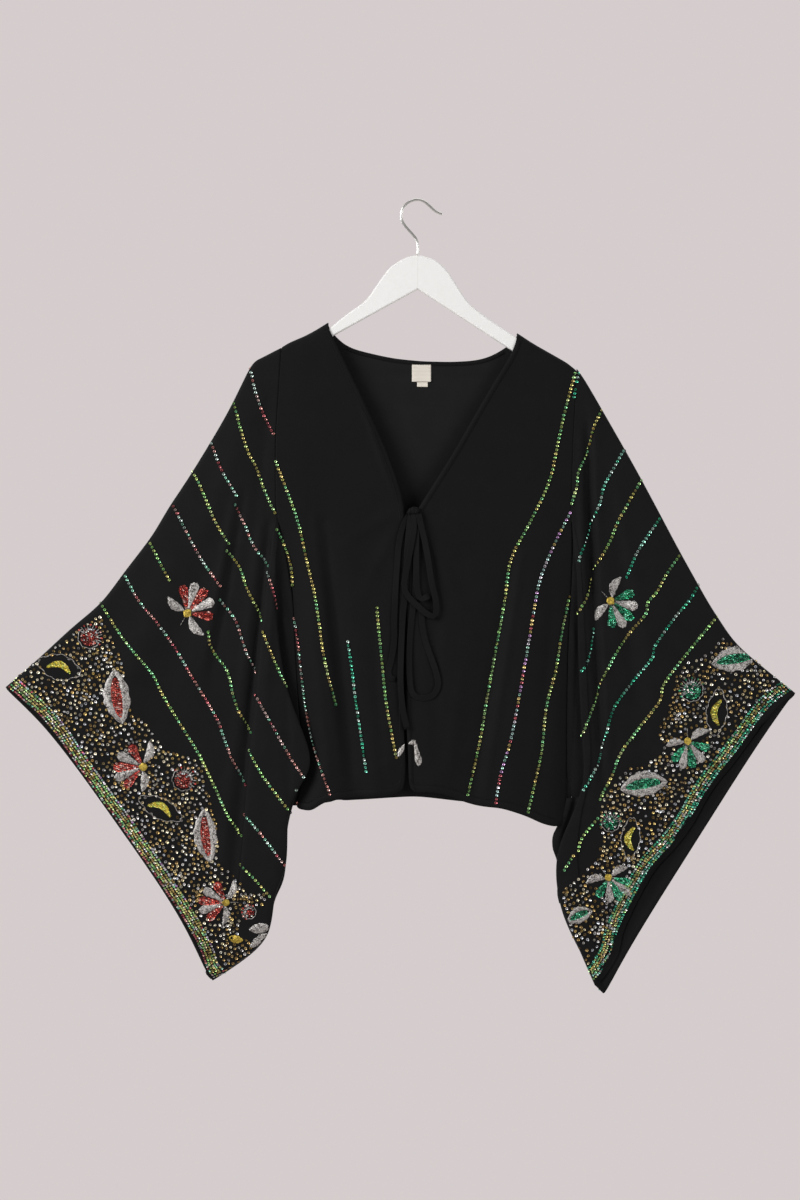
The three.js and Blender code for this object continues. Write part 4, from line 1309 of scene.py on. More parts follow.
@dataclass
class SequinStripes:
    """The strings of sequins that run down the sleeves and the body."""

    stripes: Sequence[Stripe]
    pitch: float = 5.2
    radius: float = 1.95

    BACK_STEPS = 8
    SLEEVE_LENGTH = 640
    BODY_BACK_NUMBER = 100

    def sew_front(self, sewing: Sewing) -> None:
        """Sew the stripes that the front shows.

        Args:
            sewing: The frame that they are sewn on.
        """
        for number, stripe in enumerate(self.stripes):
            self.string(sewing, stripe.dye, route_from_photo(*stripe.route), Side.FRONT, number)

    def string(
        self, sewing: Sewing, dye: Dye, route: Sequence[Point2], side: Side, number: int,
        panel: str = "",
    ) -> None:
        """Sew one string, whose shade drifts along it.

        Args:
            sewing: The frame that it is sewn on.
            dye: Its dye.
            route: Its route, in millimetres.
            side: The garment's side.
            number: The string's number, which sets its drift.
            panel: The panel that it has to lie on, or nothing for any.
        """
        for step, (place, _) in enumerate(smooth_route(route, self.pitch)):
            drift = noise.noise(Vector((step * 0.11, number * 7.3, side.value))) * 0.8 + 0.45
            shade = drift + sewing.dice.uniform(-0.2, 0.2)
            size = self.radius * sewing.dice.uniform(0.94, 1.06)
            sewing.sequin(
                "stripes", dye, place, side, size, tilt=13, shade=shade % 1, panel=panel, dimmest=0.5,
            )

    def sew_sleeve_back(self, sewing: Sewing, sleeve: SleeveBack) -> None:
        """Sew the stripes of a sleeve's back, which go on from the front over the top fold.

        Args:
            sewing: The frame that they are sewn on.
            sleeve: Where they start and run.
        """
        (ahead_x, ahead_z), steps = sleeve.heading, self.BACK_STEPS
        for k, start in enumerate(sleeve.starts):
            route = []
            for step in range(steps + 1):
                run = self.SLEEVE_LENGTH * step / steps
                sway = 5 * math.sin(step * 0.9 + k)
                route.append((start[0] + ahead_x * run - ahead_z * sway,
                              start[1] + ahead_z * run + ahead_x * sway))
            dye = sleeve.dyes[k % len(sleeve.dyes)]
            self.string(sewing, dye, route, Side.BACK, sleeve.first_number + k, sleeve.panel)

    def sew_body_back(self, sewing: Sewing, stripes: Sequence[tuple[Point2, Point2, Dye]]) -> None:
        """Sew the stripes that run down the back of the body.

        Args:
            sewing: The frame that they are sewn on.
            stripes: Each stripe's top, bottom and dye.
        """
        steps = self.BACK_STEPS
        for number, (top, bottom, dye) in enumerate(stripes):
            route = [(top[0] + (bottom[0] - top[0]) * k / steps + 3.5 * math.sin(1.3 * k + number),
                      top[1] + (bottom[1] - top[1]) * k / steps) for k in range(steps + 1)]
            self.string(sewing, dye, route, Side.BACK, self.BODY_BACK_NUMBER + number, "cloth_back")


@dataclass
class CuffBorder:
    """The sari's worked border along one cuff, on one side of the sleeve."""

    side: Side
    panel: str
    cuff: Sequence[Point2]
    inner: Sequence[Point2]
    motifs: Sequence[Motif]
    rows: Sequence[Dye]
    pitch: float = 5.0

    FIRST_ROW = 5.4
    ROW_PITCH = 3.6
    SEQUIN_PITCH = 3.3
    GROUND_STEP = 30
    MOTTLE = 24

    def sew(self, sewing: Sewing) -> None:
        """Sew the motifs, the rows along the cuff and the loose sequins between them.

        Args:
            sewing: The frame that they are sewn on.
        """
        for motif in self.motifs:
            motif.sew(sewing, self.side)
        self.sew_rows(sewing)
        self.scatter(sewing)

    def sew_rows(self, sewing: Sewing) -> None:
        """Sew close rows of sequins along the cuff, just inside its plain hem.

        Args:
            sewing: The frame that they are sewn on.
        """
        for number, dye in enumerate(self.rows):
            inset = self.FIRST_ROW + self.ROW_PITCH * number
            for step, (place, ahead) in enumerate(smooth_route(self.cuff, self.SEQUIN_PITCH)):
                inward = self.inward(ahead)
                sway = 0.5 * noise.noise(Vector((step * 0.13, number * 3.7, 0.5)))
                reach = inset + sway + sewing.dice.uniform(-0.3, 0.3)
                slip = sewing.dice.uniform(-0.5, 0.5) + number
                spot = shifted(shifted(place, inward, reach), ahead, slip)
                other = sewing.dice.random()
                mixed = dye if other < 0.72 else (Dye.SILVER if other < 0.82 else Dye.LIME)
                sewing.sequin("trim", mixed, spot, self.side, 1.45, tilt=18, panel=self.panel, dimmest=0.6)

    def inward(self, ahead: Point2) -> Point2:
        """Return the direction from the cuff into the sleeve."""
        sign = 1 if self.cuff[0][0] < 0 else -1
        return -ahead[1] * sign, ahead[0] * sign

    def ground(self) -> list[Point2]:
        """Return the outline of the ground that loose sequins are strewn on."""
        depth = self.FIRST_ROW + self.ROW_PITCH * len(self.rows)
        outer = []
        for place, ahead in smooth_route(self.cuff, self.GROUND_STEP):
            outer.append(shifted(place, self.inward(ahead), depth))
        return [*outer, *reversed(self.inner)]

    def scatter(self, sewing: Sewing) -> None:
        """Strew loose sequins over the ground, clear of the motifs and of each other.

        Args:
            sewing: The frame that they are sewn on.
        """
        outline = self.ground()
        bare = [circle for motif in self.motifs for circle in motif.bare_ground()]
        low = [min(p[k] for p in outline) for k in (0, 1)]
        high = [max(p[k] for p in outline) for k in (0, 1)]
        kept: dict[tuple[int, int], list[Point2]] = {}
        for _ in range(int((high[0] - low[0]) * (high[1] - low[1]) / 2.2)):
            place = (sewing.dice.uniform(low[0], high[0]), sewing.dice.uniform(low[1], high[1]))
            mottle = noise.noise(Vector((place[0] / self.MOTTLE, place[1] / self.MOTTLE, 0)))
            apart = self.pitch * (1.03 + 0.55 * mottle)
            cell = (int(place[0] // (2 * self.pitch)), int(place[1] // (2 * self.pitch)))
            cells = [(cell[0] + i, cell[1] + j) for i in (-1, 0, 1) for j in (-1, 0, 1)]
            if any(math.dist(p, place) < apart for near in cells for p in kept.get(near, ())):
                continue
            if not inside(place, outline) or any(math.dist(place, c) < r for c, r in bare):
                continue
            kept.setdefault(cell, []).append(place)
            dye = Dye.GOLD if sewing.dice.random() < 0.68 else Dye.SILVER
            radius = sewing.dice.uniform(1.55, 2.15)
            sewing.sequin("scatter", dye, place, self.side, radius, tilt=16, panel=self.panel, dimmest=0.3)


def inside(place: Point2, outline: Sequence[Point2]) -> bool:
    """Tell whether a place lies in a closed outline.

    Args:
        place: The place.
        outline: Corners of the outline.

    Returns:
        True where a line from the place crosses the outline an odd number of times.
    """
    crossed = False
    for (x1, z1), (x2, z2) in zip(outline, [*outline[1:], outline[0]]):
        if (z1 > place[1]) != (z2 > place[1]):
            crossed ^= place[0] < x1 + (place[1] - z1) / (z2 - z1) * (x2 - x1)
    return crossed


@dataclass(frozen=True)
class Ribbon:
    """Flat self-fabric ribbon of the tie, along a route that lies on the fronts."""

    node: str
    layer: int
    far_end: str
    route: Sequence[Point2]
    width: float = 8.0
    thickness: float = 1.4
    layer_rise: float = 1.7

    STEP = 5.0
    BESIDE = 14.0
    SOFTENING = 3
    SIDES = 16

    def centre_line(self, surface: ClothSurface) -> list[Vector]:
        """Lay the ribbon's middle on the cloth.

        Args:
            surface: The cloth.

        Returns:
            Points along the ribbon, in metres.
        """
        line = []
        for place, _ in smooth_route(self.route, self.STEP):
            spot = surface.proud(place, Side.FRONT, self.BESIDE)
            rise = 0.4 + self.layer_rise * (self.layer - 0.5)
            line.append(spot.point - Vector((0, rise * MM, 0)))
        depths = [point.y for point in line]
        for i in range(len(line)):
            near = depths[max(0, i - self.SOFTENING):i + self.SOFTENING + 1]
            line[i].y = sum(near) / len(near)
        return line

    def build(self, surface: ClothSurface, knot: Piece, finish: Finish) -> Piece:
        """Args:
            surface: The cloth that it lies on.
            knot: The bow's knot, which it comes out of; not used.
            finish: The cloth's material.

        Returns:
            The ribbon.
        """
        line = self.centre_line(surface)
        rings = []
        half, thick = self.width / 2 * MM, self.thickness / 2 * MM
        for i, point in enumerate(line):
            ahead = (line[min(i + 1, len(line) - 1)] - line[max(i - 1, 0)]).normalized()
            out = Vector((0, -1, 0))
            across = ahead.cross(out).normalized()
            out = across.cross(ahead).normalized()
            lean = 0.2 * math.sin(i * 0.19 + self.layer * 1.7)
            narrow = 1 - 0.3 * math.exp(-i / 2.5)
            ring = []
            for k in range(self.SIDES):
                angle = math.tau * k / self.SIDES
                u, v = math.cos(angle), math.sin(angle)
                flat = math.copysign(abs(u) ** 0.55, u)
                ridge = math.copysign(abs(v) ** 0.4, v) * 0.8 + 0.35 * flat * flat
                side = flat * half * narrow
                ring.append(point + (across * side + out * (ridge * thick + lean * side)))
            rings.append(ring)
        piece = tube_piece(f"ribbon_{self.node[4:]}", rings)
        keep(piece, finish)
        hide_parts(self.node)
        return piece


def tube_piece(name: str, rings: Sequence[Sequence[Vector]]) -> Piece:
    """Skin a closed tube through rings of points.

    Args:
        name: Name of the piece.
        rings: Rings with the same number of points.

    Returns:
        The object, not yet in the scene.
    """
    count = len(rings[0])
    points = [point for ring in rings for point in ring]
    faces = ring_faces(len(rings), count)
    for ring, end in ((rings[0], 0), (rings[-1], len(rings) - 1)):
        points.append(sum(ring, Vector()) / count)
        middle = len(points) - 1
        for k in range(count):
            pair = (end * count + k, end * count + (k + 1) % count)
            faces.append((middle, pair[1], pair[0]) if end == 0 else (middle, *pair))
    return mesh_piece(name, points, faces)


@dataclass(frozen=True)
class TieKnot:
    """Small tight knot of the bow: one ribbon wrapped twice round the others."""

    centre: Point2 = (-5.0, -413.0)
    length: float = 16.0
    height: float = 9.5
    depth: float = 7.5
    wraps: int = 3

    STEPS = 25
    SIDES = 28

    def build(self, surface: ClothSurface, finish: Finish) -> Piece:
        """Make the knot, in front of the cloth under it.

        Args:
            surface: The cloth that it lies on.
            finish: The cloth's material.

        Returns:
            The knot.
        """
        spot = surface.proud(self.centre, Side.FRONT, Ribbon.BESIDE)
        middle = spot.point - Vector((0, (self.depth / 2 + 1.0) * MM, 0))
        rings = []
        for i in range(self.STEPS):
            share = 2 * i / (self.STEPS - 1) - 1
            swell = math.sqrt(max(0.0, 1 - abs(share) ** 3.2)) * 0.86 + 0.1
            ring = []
            for k in range(self.SIDES):
                angle = math.tau * k / self.SIDES
                wrap = 1 + 0.07 * math.cos(math.pi * self.wraps * (share + 0.16 * math.sin(angle)))
                pucker = 1 + 0.05 * math.sin(5 * angle + 6 * share)
                ring.append(middle + Vector((
                    share * self.length / 2 + 0.9 * math.sin(angle),
                    self.depth / 2 * swell * wrap * pucker * math.cos(angle),
                    self.height / 2 * swell * wrap * pucker * math.sin(angle) - 1.4 * share * share,
                )) * MM)
            rings.append(ring)
        piece = tube_piece("bow_knot", rings)
        keep(piece, finish)
        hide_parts("tie_knot")
        return piece


@dataclass(frozen=True)
class NeckPatch:
    """Label or tab of woven tape, sewn to the inside of the back at the neck."""

    name: str
    left: float
    right: float
    top: float
    bottom: float
    curl: float

    ROWS = 14
    COLUMNS = 18
    HALF_THICKNESS = 0.4
    EDGE_SHARE = 0.35

    def build(self, surface: ClothSurface, finish: Finish) -> Piece:
        """Lay the patch on the back's inside, its free edge standing a little off.

        Args:
            surface: The cloth.
            finish: The tape's material.

        Returns:
            The patch, which replaces its solid.
        """
        rows, columns = self.ROWS, self.COLUMNS
        points = []
        for face in (-1, 1):
            for i in range(rows + 1):
                down = i / rows
                for j in range(columns + 1):
                    across = j / columns
                    x = self.left + (self.right - self.left) * across
                    z = self.top + (self.bottom - self.top) * down
                    spot = surface.meet((x, z), Side.FRONT)
                    wave = 0.25 * math.sin(across * 7 + self.left) * down
                    rise = 0.6 + self.curl * down ** 2 * (0.6 + 0.4 * (2 * across - 1) ** 2) + wave
                    edge = min(across, 1 - across) * columns < 0.5 or min(down, 1 - down) * rows < 0.5
                    thick = self.HALF_THICKNESS * (self.EDGE_SHARE if edge else 1.0)
                    points.append(spot.point + Vector((0, (face * thick - rise) * MM, 0)))
        patch = mesh_piece(f"woven_{self.name}", points, shell_faces(rows, columns))
        piece = keep(patch, finish)
        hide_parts(self.name)
        return piece


@dataclass(frozen=True)
class HookWire:
    """Bent and plated wire hook."""

    levels: int = 2

    def build(self, finish: Finish) -> Piece:
        """Round the facets of the hook's solid.

        Args:
            finish: The plating's material.

        Returns:
            The hook, which replaces its solid.
        """
        form = solid_form("hanger_hook")
        bmesh.ops.join_triangles(
            form, faces=form.faces, angle_face_threshold=math.radians(40), angle_shape_threshold=math.pi,
        )
        mesh = bpy.data.meshes.new("hook_wire")
        form.to_mesh(mesh)
        form.free()
        mesh.shade_smooth()
        piece = keep(bpy.data.objects.new("hook_wire", mesh), finish)
        soften(piece, self.levels)
        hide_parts("hanger_hook")
        return piece


@dataclass(frozen=True)
class HangerWood:
    """Flat board of the hanger, with its edges rounded over all round."""

    round_over: float = 2.0
    steps: int = 6
    corner_angle: float = 35.0
    pitch: float = 3.0

    def outline(self) -> tuple[list[Point2], float]:
        """Walk round the flat front of the hanger's solid.

        Returns:
            Its corners in order and half the board's thickness, in millimetres.
        """
        form = solid_form("hanger_body")
        form.normal_update()
        flat = {face for face in form.faces if face.normal.y < -0.999}
        after = {}
        for face in flat:
            for loop in face.loops:
                if sum(other in flat for other in loop.edge.link_faces) == 1:
                    after[loop.vert] = loop.link_loop_next.vert
        first = next(iter(after))
        walk = [first]
        while after[walk[-1]] is not first:
            walk.append(after[walk[-1]])
        half = -first.co.y / MM
        found = [(vert.co.x / MM, vert.co.z / MM) for vert in walk]
        form.free()
        return found, half

    def smooth_outline(self, given: list[Point2]) -> list[Point2]:
        """Smooth the outline between its true corners.

        Args:
            given: Its corners in order.

        Returns:
            Closely spaced places round the board.
        """
        count = len(given)
        sharp = []
        for i in range(count):
            a, b, c = given[i - 1], given[i], given[(i + 1) % count]
            turn = math.atan2(c[1] - b[1], c[0] - b[0]) - math.atan2(b[1] - a[1], b[0] - a[0])
            if abs((math.degrees(turn) + 180) % 360 - 180) > self.corner_angle:
                sharp.append(i)
        placed: list[Point2] = []
        for start, stop in zip(sharp, [*sharp[1:], sharp[0] + count]):
            run = [given[k % count] for k in range(start, stop + 1)]
            placed.extend(place for place, _ in smooth_route(run, self.pitch)[:-1])
        return placed

    def build(self, finish: Finish) -> Piece:
        """Make the board.

        Args:
            finish: The paint's material.

        Returns:
            The board, which replaces its solid.
        """
        corners, half = self.outline()
        line = self.smooth_outline(corners)
        count = len(line)
        area = sum(a[0] * b[1] - b[0] * a[1] for a, b in zip(line, [*line[1:], line[0]]))
        outward = []
        for i, place in enumerate(line):
            a, c = line[i - 1], line[(i + 1) % count]
            run = math.dist(a, c)
            sign = 1 if area > 0 else -1
            outward.append((sign * (c[1] - a[1]) / run, -sign * (c[0] - a[0]) / run))
        points = []
        turns = [math.pi / 2 * k / self.steps for k in range(self.steps + 1)]
        profile = [(math.sin(t), -half + self.round_over * (1 - math.cos(t))) for t in turns]
        profile += [(reach, -depth) for reach, depth in reversed(profile)]
        for reach, depth in profile:
            for place, way in zip(line, outward):
                x, z = shifted(place, way, reach * self.round_over)
                points.append((x * MM, depth * MM, z * MM))
        faces = ring_faces(len(profile), count)
        top = (len(profile) - 1) * count
        faces += [tuple(range(count)), tuple(top + k for k in reversed(range(count)))]
        piece = mesh_piece("hanger_wood", points, faces)
        form = bmesh.new()
        form.from_mesh(piece.data)
        bmesh.ops.recalc_face_normals(form, faces=form.faces)
        flat = [face for face in form.faces if len(face.verts) > 4]
        for edge in {edge for face in flat for edge in face.edges}:
            edge.smooth = False
        bmesh.ops.triangulate(form, faces=flat)
        form.to_mesh(piece.data)
        form.free()
        keep(piece, finish)
        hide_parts("hanger_body")
        return piece


@dataclass(frozen=True)
class UnderarmFold:
    """Soft fold of the sleeve's cloth that hangs out beside the side seam."""

    name: str
    left: Sequence[Point2]
    right: Sequence[Point2]
    rests_on: str
    depth: float
    ripple: float = 2.2
    wall: float = 1.0

    ROWS = 26
    COLUMNS = 10

    def build(self, finish: Finish) -> Piece:
        """Hang the fold between its two edges.

        Args:
            finish: The cloth's material.

        Returns:
            The fold.
        """
        rows, columns = self.ROWS, self.COLUMNS
        edges = []
        for route in (self.left, self.right):
            stops = [place for place, _ in smooth_route(route, 1.0)]
            edges.append([stops[round(i * (len(stops) - 1) / rows)] for i in range(rows + 1)])
        points = []
        for face in (-1, 1):
            for i, (a, b) in enumerate(zip(*edges)):
                for j in range(columns + 1):
                    across = j / columns
                    phase = across * 8 + 0.9 * math.sin(i * 0.3)
                    wave = math.sin(phase) * self.ripple * math.sin(math.pi * across)
                    y = -self.depth - wave + face * self.wall / 2
                    points.append(((a[0] + (b[0] - a[0]) * across) * MM, y * MM,
                                   (a[1] + (b[1] - a[1]) * across) * MM))
        piece = keep(mesh_piece(self.name, points, shell_faces(rows, columns)), finish)
        return piece


@dataclass(frozen=True)
class EdgeBand:
    """Turned and topstitched edge of the cloth, along a neck, a hem or a cuff."""

    name: str
    side: Side
    panel: str
    route: Sequence[Point2]
    width: float
    inward: int
    rise: float = 0.6

    SEARCH = (-9.0, 13.0)
    HALVINGS = 9
    STEP = 4.5
    LONGEST_STEP = 14.0
    FACING = 0.45
    STITCH = 1.7
    STITCH_INSET = 1.4
    LONGEST_STITCH = 4

    def edge(self, surface: ClothSurface, pitch: float) -> list[tuple[Point2, Point2]]:
        """Find the cloth's own edge near the route.

        Args:
            surface: The cloth.
            pitch: Distance between two stops, in millimetres.

        Returns:
            Places on the edge, each with the direction into the cloth.
        """
        found = []
        for place, ahead in smooth_route(self.route, pitch):
            into = (-ahead[1] * self.inward, ahead[0] * self.inward)
            outside, within = self.SEARCH
            if surface.meet(shifted(place, into, within), self.side, self.panel) is None:
                continue
            for _ in range(self.HALVINGS):
                middle = (outside + within) / 2
                if surface.meet(shifted(place, into, middle), self.side, self.panel) is None:
                    outside = middle
                else:
                    within = middle
            found.append((shifted(place, into, within), into))
        return found

    def build(self, surface: ClothSurface, finish: Finish) -> Piece:
        """Lay the turned edge on the cloth.

        Args:
            surface: The cloth.
            finish: The cloth's material.

        Returns:
            The band.
        """
        profile = ((0.5, -0.3), (1.0, 0.45), (self.width * 0.5, self.rise), (self.width - 0.8, 0.45),
                   (self.width, -0.4))
        points: list[Vector] = []
        faces = []
        last: Vector | None = None
        for place, into in self.edge(surface, self.STEP):
            insets = [shifted(place, into, inset) for inset, _ in profile]
            spots = [surface.meet(inset, self.side, self.panel) for inset in insets]
            if any(spot is None or abs(spot.normal.y) < self.FACING for spot in spots):
                last = None
                continue
            points.extend(spot.point + spot.normal * (rise * MM) for spot, (_, rise) in zip(spots, profile))
            if last is not None and (spots[2].point - last).length < self.LONGEST_STEP * MM:
                a, b = len(points) - 2 * len(profile), len(points) - len(profile)
                faces.extend((a + k, a + k + 1, b + k + 1, b + k) for k in range(len(profile) - 1))
            last = spots[2].point
        return keep(mesh_piece(self.name, points, faces), finish)

    def stitch(self, sewing: Sewing) -> None:
        """Sew a row of stitches on the band, just short of its inner edge.

        Args:
            sewing: The frame that they are sewn on.
        """
        inset = self.width - self.STITCH_INSET
        row = [shifted(place, into, inset) for place, into in self.edge(sewing.surface, self.STITCH)]
        for a, b in zip(row[::2], row[1::2]):
            if math.dist(a, b) < self.LONGEST_STITCH:
                middle = ((a[0] + b[0]) / 2, (a[1] + b[1]) / 2)
                sewing.thread("stitch", [a, middle, b], self.side, 0.32, lift=2.4)


@dataclass(frozen=True)
class SeamAllowance:
    """Cut edges of an armhole and side seam, pressed open just under the cloth that they join.

    Each row of the line is a height, a place across, and the depths of the front and back cloth.
    Above flush_above the allowance follows the cloth that is met on both sides of the seam.
    """

    name: str
    line: Sequence[tuple[float, float, float, float]]
    half_width: float = 6.0
    end_width: float = 1.5
    behind: float = 1.1
    flush_above: float = -430.0
    look: float = 3.0
    wall: float = 1.6
    sink: float = 0.35

    STOPS = 180
    SPREAD = 0.9
    LEAST_DEPTH = 0.15

    def build(self, surface: ClothSurface, finish: Finish) -> Piece:
        """Make both layers' allowances, just inside the seam.

        Args:
            surface: The hung cloth.
            finish: The cloth's material.

        Returns:
            The allowances, as one piece.
        """
        heights = [row[0] for row in self.line]
        stops = np.linspace(heights[0], heights[-1], self.STOPS)
        down = [-z for z in heights]
        across, front, back = (np.interp(-stops, down, [row[k] for row in self.line]) for k in (1, 2, 3))
        points = []
        faces = []
        for side, depths in ((Side.FRONT, front), (Side.BACK, back)):
            first = len(points)
            for z, x, depth in zip(stops, across, depths):
                half = min(self.half_width, self.end_width + self.SPREAD * (stops[0] - z))
                levels = [depth - self.behind] * 3
                beside = [surface.meet((x + step, z), side) for step in (-self.look, self.look)]
                if z > self.flush_above and all(beside):
                    left, right = (spot.point.y * side.value / MM for spot in beside)
                    levels = [left - self.wall, (left + right) / 2 - self.sink, right - self.wall]
                for px, level in zip((x - half, x, x + half), levels):
                    points.append((px * MM, side.value * max(level, self.LEAST_DEPTH) * MM, z * MM))
            for i in range(len(stops) - 1):
                for k in range(2):
                    a = first + 3 * i + k
                    faces.append((a, a + 1, a + 4, a + 3))
        return keep(mesh_piece(self.name, points, faces), finish)


@dataclass(frozen=True)
class SoftLight:
    """Broad square light that is turned to the middle of the blouse, placed in metres."""

    name: str
    place: tuple[float, float, float]
    power: float
    size: float

    AIM = (0, 0, -0.5)

    def hang(self) -> None:
        """Put the light in the scene."""
        lamp = bpy.data.lights.new(self.name, "AREA")
        lamp.energy = self.power
        lamp.size = self.size
        holder = bpy.data.objects.new(self.name, lamp)
        holder.location = self.place
        aim = Vector(self.AIM) - Vector(self.place)
        holder.rotation_euler = aim.to_track_quat("-Z", "Y").to_euler()
        bpy.context.scene.collection.objects.link(holder)


@dataclass(frozen=True)
class Studio:
    """Pale studio: a floor, a plain pale surround, five broad soft lights and the camera."""

    lens: float = 85.0
    sensor: float = 36.0
    floor_height: float = -1.9
    floor_radius: float = 2.6
    floor_sides: int = 96
    floor_grain: float = 50 / 3
    backdrop: str = "#d5cdcd"
    surround: str = "#f2f0ee"
    surround_strength: float = 0.34
    lights: Sequence[SoftLight] = (
        SoftLight("key", (-2.7, -1.9, 0.7), 100.0, 1.8),
        SoftLight("fill", (2.5, -2.4, 0.0), 36.0, 1.6),
        SoftLight("top", (0.1, 0.9, 1.5), 14.0, 1.6),
        SoftLight("behind", (-1.4, 2.6, 0.3), 38.0, 1.6),
        SoftLight("behind_low", (1.7, 2.5, -0.2), 24.0, 1.6),
    )

    def place_camera(self) -> None:
        """Set the camera up at the photograph's angle and framing."""
        data = bpy.data.cameras.new("camera")
        data.lens = self.lens
        data.sensor_fit = "VERTICAL"
        data.sensor_height = self.sensor
        data.dof.use_dof = False
        middle = from_photo(PHOTO_CENTRE_PIXEL)
        distance = PHOTO_HEIGHT_PIXELS * PIXEL * self.lens / self.sensor
        camera = bpy.data.objects.new("camera", data)
        camera.location = (middle[0] * MM, -distance * MM, middle[1] * MM)
        camera.rotation_euler = (math.pi / 2, 0, 0)
        bpy.context.scene.collection.objects.link(camera)
        bpy.context.scene.camera = camera

    def light(self) -> None:
        """Set up the surround and the lights."""
        for light in self.lights:
            light.hang()
        world = bpy.data.worlds.new("surround")
        world.use_nodes = True
        tree = world.node_tree
        tree.nodes.clear()
        rays = add_node(tree, "ShaderNodeLightPath").outputs["Is Camera Ray"]
        seen = add_node(tree, "ShaderNodeBackground", {"Color": linear(self.backdrop)})
        lit = add_node(tree, "ShaderNodeBackground", {
            "Color": linear(self.surround), "Strength": self.surround_strength,
        })
        both = add_node(tree, "ShaderNodeMixShader", {}, {
            "Fac": rays, 1: lit.outputs[0], 2: seen.outputs[0],
        })
        add_node(tree, "ShaderNodeOutputWorld", {}, {"Surface": both.outputs[0]})
        bpy.context.scene.world = world
        bpy.context.scene.view_settings.view_transform = "Standard"

    def lay_floor(self) -> None:
        """Lay the floor under the hung blouse."""
        angles = [math.tau * k / self.floor_sides for k in range(self.floor_sides)]
        corners = [(self.floor_radius * math.cos(angle), self.floor_radius * math.sin(angle),
                    self.floor_height) for angle in angles]
        floor = mesh_piece("floor", corners, [range(self.floor_sides)])
        material, tree = new_tree("matte_floor")
        place = add_node(tree, "ShaderNodeTexCoord").outputs["Object"]
        grain = add_node(tree, "ShaderNodeTexNoise", {
            "Scale": 1 / (self.floor_grain * MM), "Detail": 4.0,
        }, {"Vector": place})
        tone = add_node(tree, "ShaderNodeMixRGB", {
            "Color1": linear("#cfc8c7"), "Color2": linear("#d8d1d0"),
        }, {"Fac": grain.outputs["Fac"]})
        show(tree, add_node(tree, "ShaderNodeBsdfPrincipled", {"Roughness": 0.9}, {
            "Base Color": tone.outputs["Color"],
        }))
        floor.data.materials.append(material)
        bpy.context.scene.collection.objects.link(floor)


# Rows of a crease's start, X and Z, its end, X and Z, its width and its height.
PANELS = (
    ClothPanel("back", (0.400, 0.671), 0.229, front=creases(
        (-60, -273, 78, -275, 5, 1.6), (-48, -324, 44, -324, 5, 1.4),
    ), back=creases(
        (-150, -260, -130, -700, 12, 2.2), (-128, -330, -104, -780, 9, -3.0),
        (-52, -420, -40, -790, 11, 2.4), (-30, -450, -18, -790, 8, -2.6), (70, -400, 66, -790, 11, 2.4),
        (90, -430, 84, -790, 8, -2.8), (150, -280, 138, -790, 10, 2.6), (168, -330, 156, -800, 7, -2.8),
        (-100, -230, 110, -236, 8, 1.6),
    )),
    ClothPanel("front_left", (0.176, 0.651), 0.087, levels=3, front=creases(
        (-78, -258, -28, -396, 4.5, 1.6), (-71, -262, -21, -398, 3.5, -1.2), (-20, -410, -95, -455, 9, 1.4),
        (-20, -420, -70, -520, 8, 1.2), (-61, -760, -24, -741, 4, 1.0), (-136, -420, -101, -780, 7, 2.2),
        (-124, -430, -86, -780, 7, -3.2), (-58, -560, -44, -790, 9, -1.8),
    )),
    ClothPanel("front_right", (0.226, 0.658), 0.116, levels=3, front=creases(
        (4, -412, 96, -462, 10, 1.5), (2, -424, 62, -540, 8, 1.2), (128, -470, 74, -790, 7, -3.0),
        (140, -470, 90, -790, 7, 2.0), (182, -520, 160, -810, 8, -2.2), (20, -450, 26, -760, 10, -1.8),
        (60, -620, 40, -780, 9, 1.4),
    )),
    ClothPanel("sleeve_left", (0.58, 0.92), 0.36, front=creases(
        (-241, -393, -285, -634, 5, 3.0), (-231, -393, -276, -634, 5, -3.2),
        (-198, -432, -232, -770, 5, -4.2), (-209, -440, -246, -770, 7, 2.2),
        (-230, -735, -253, -965, 5, -3.6), (-243, -735, -266, -950, 7, 2.0),
        (-184, -430, -203, -700, 5, 1.8), (-187, -440, -160, -560, 5, 1.2),
        (-186, -470, -166, -640, 4, 1.0), (-181, -500, -166, -520, 4, 1.3),
        (-180, -560, -165, -590, 4, 1.2), (-178, -640, -150, -700, 5, 1.5),
        (-168, -660, -140, -725, 4, -1.2), (-173, -655, -170, -800, 3.5, -2.6),
        (-210, -250, -330, -560, 14, 1.6), (-196, -260, -222, -480, 8, -1.4),
        (-300, -420, -420, -720, 16, 1.4),
    ), back=creases(
        (-205, -230, -230, -640, 9, -3.4), (-220, -240, -262, -700, 11, 2.8),
        (-250, -300, -330, -760, 13, -3.0), (-290, -380, -400, -780, 15, 2.6),
        (-200, -620, -225, -900, 9, -3.0),
    )),
    ClothPanel("sleeve_right", (0.58, 0.85), 0.27, front=creases(
        (226, -300, 233, -520, 5, -6.0), (232, -480, 247, -800, 5, -6.0), (217, -310, 222, -560, 5, 2.4),
        (236, -300, 244, -540, 6, 3.2), (243, -500, 258, -800, 6, 3.2), (252, -330, 300, -760, 8, -2.2),
        (266, -350, 330, -760, 10, 2.2), (222, -236, 330, -640, 12, 1.6), (219, -250, 290, -660, 8, -1.4),
        (206, -470, 214, -520, 4, 1.2), (204, -560, 214, -610, 4, 1.2), (203, -650, 213, -690, 4, 1.1),
        (196, -905, 208, -925, 3.5, 1.6), (300, -420, 400, -700, 16, 1.4),
    ), back=creases(
        (228, -250, 240, -700, 9, -3.4), (244, -260, 272, -760, 11, 2.8), (262, -320, 320, -800, 13, -3.0),
        (292, -400, 380, -800, 15, 2.6), (206, -560, 212, -900, 8, -3.0),
    )),
)

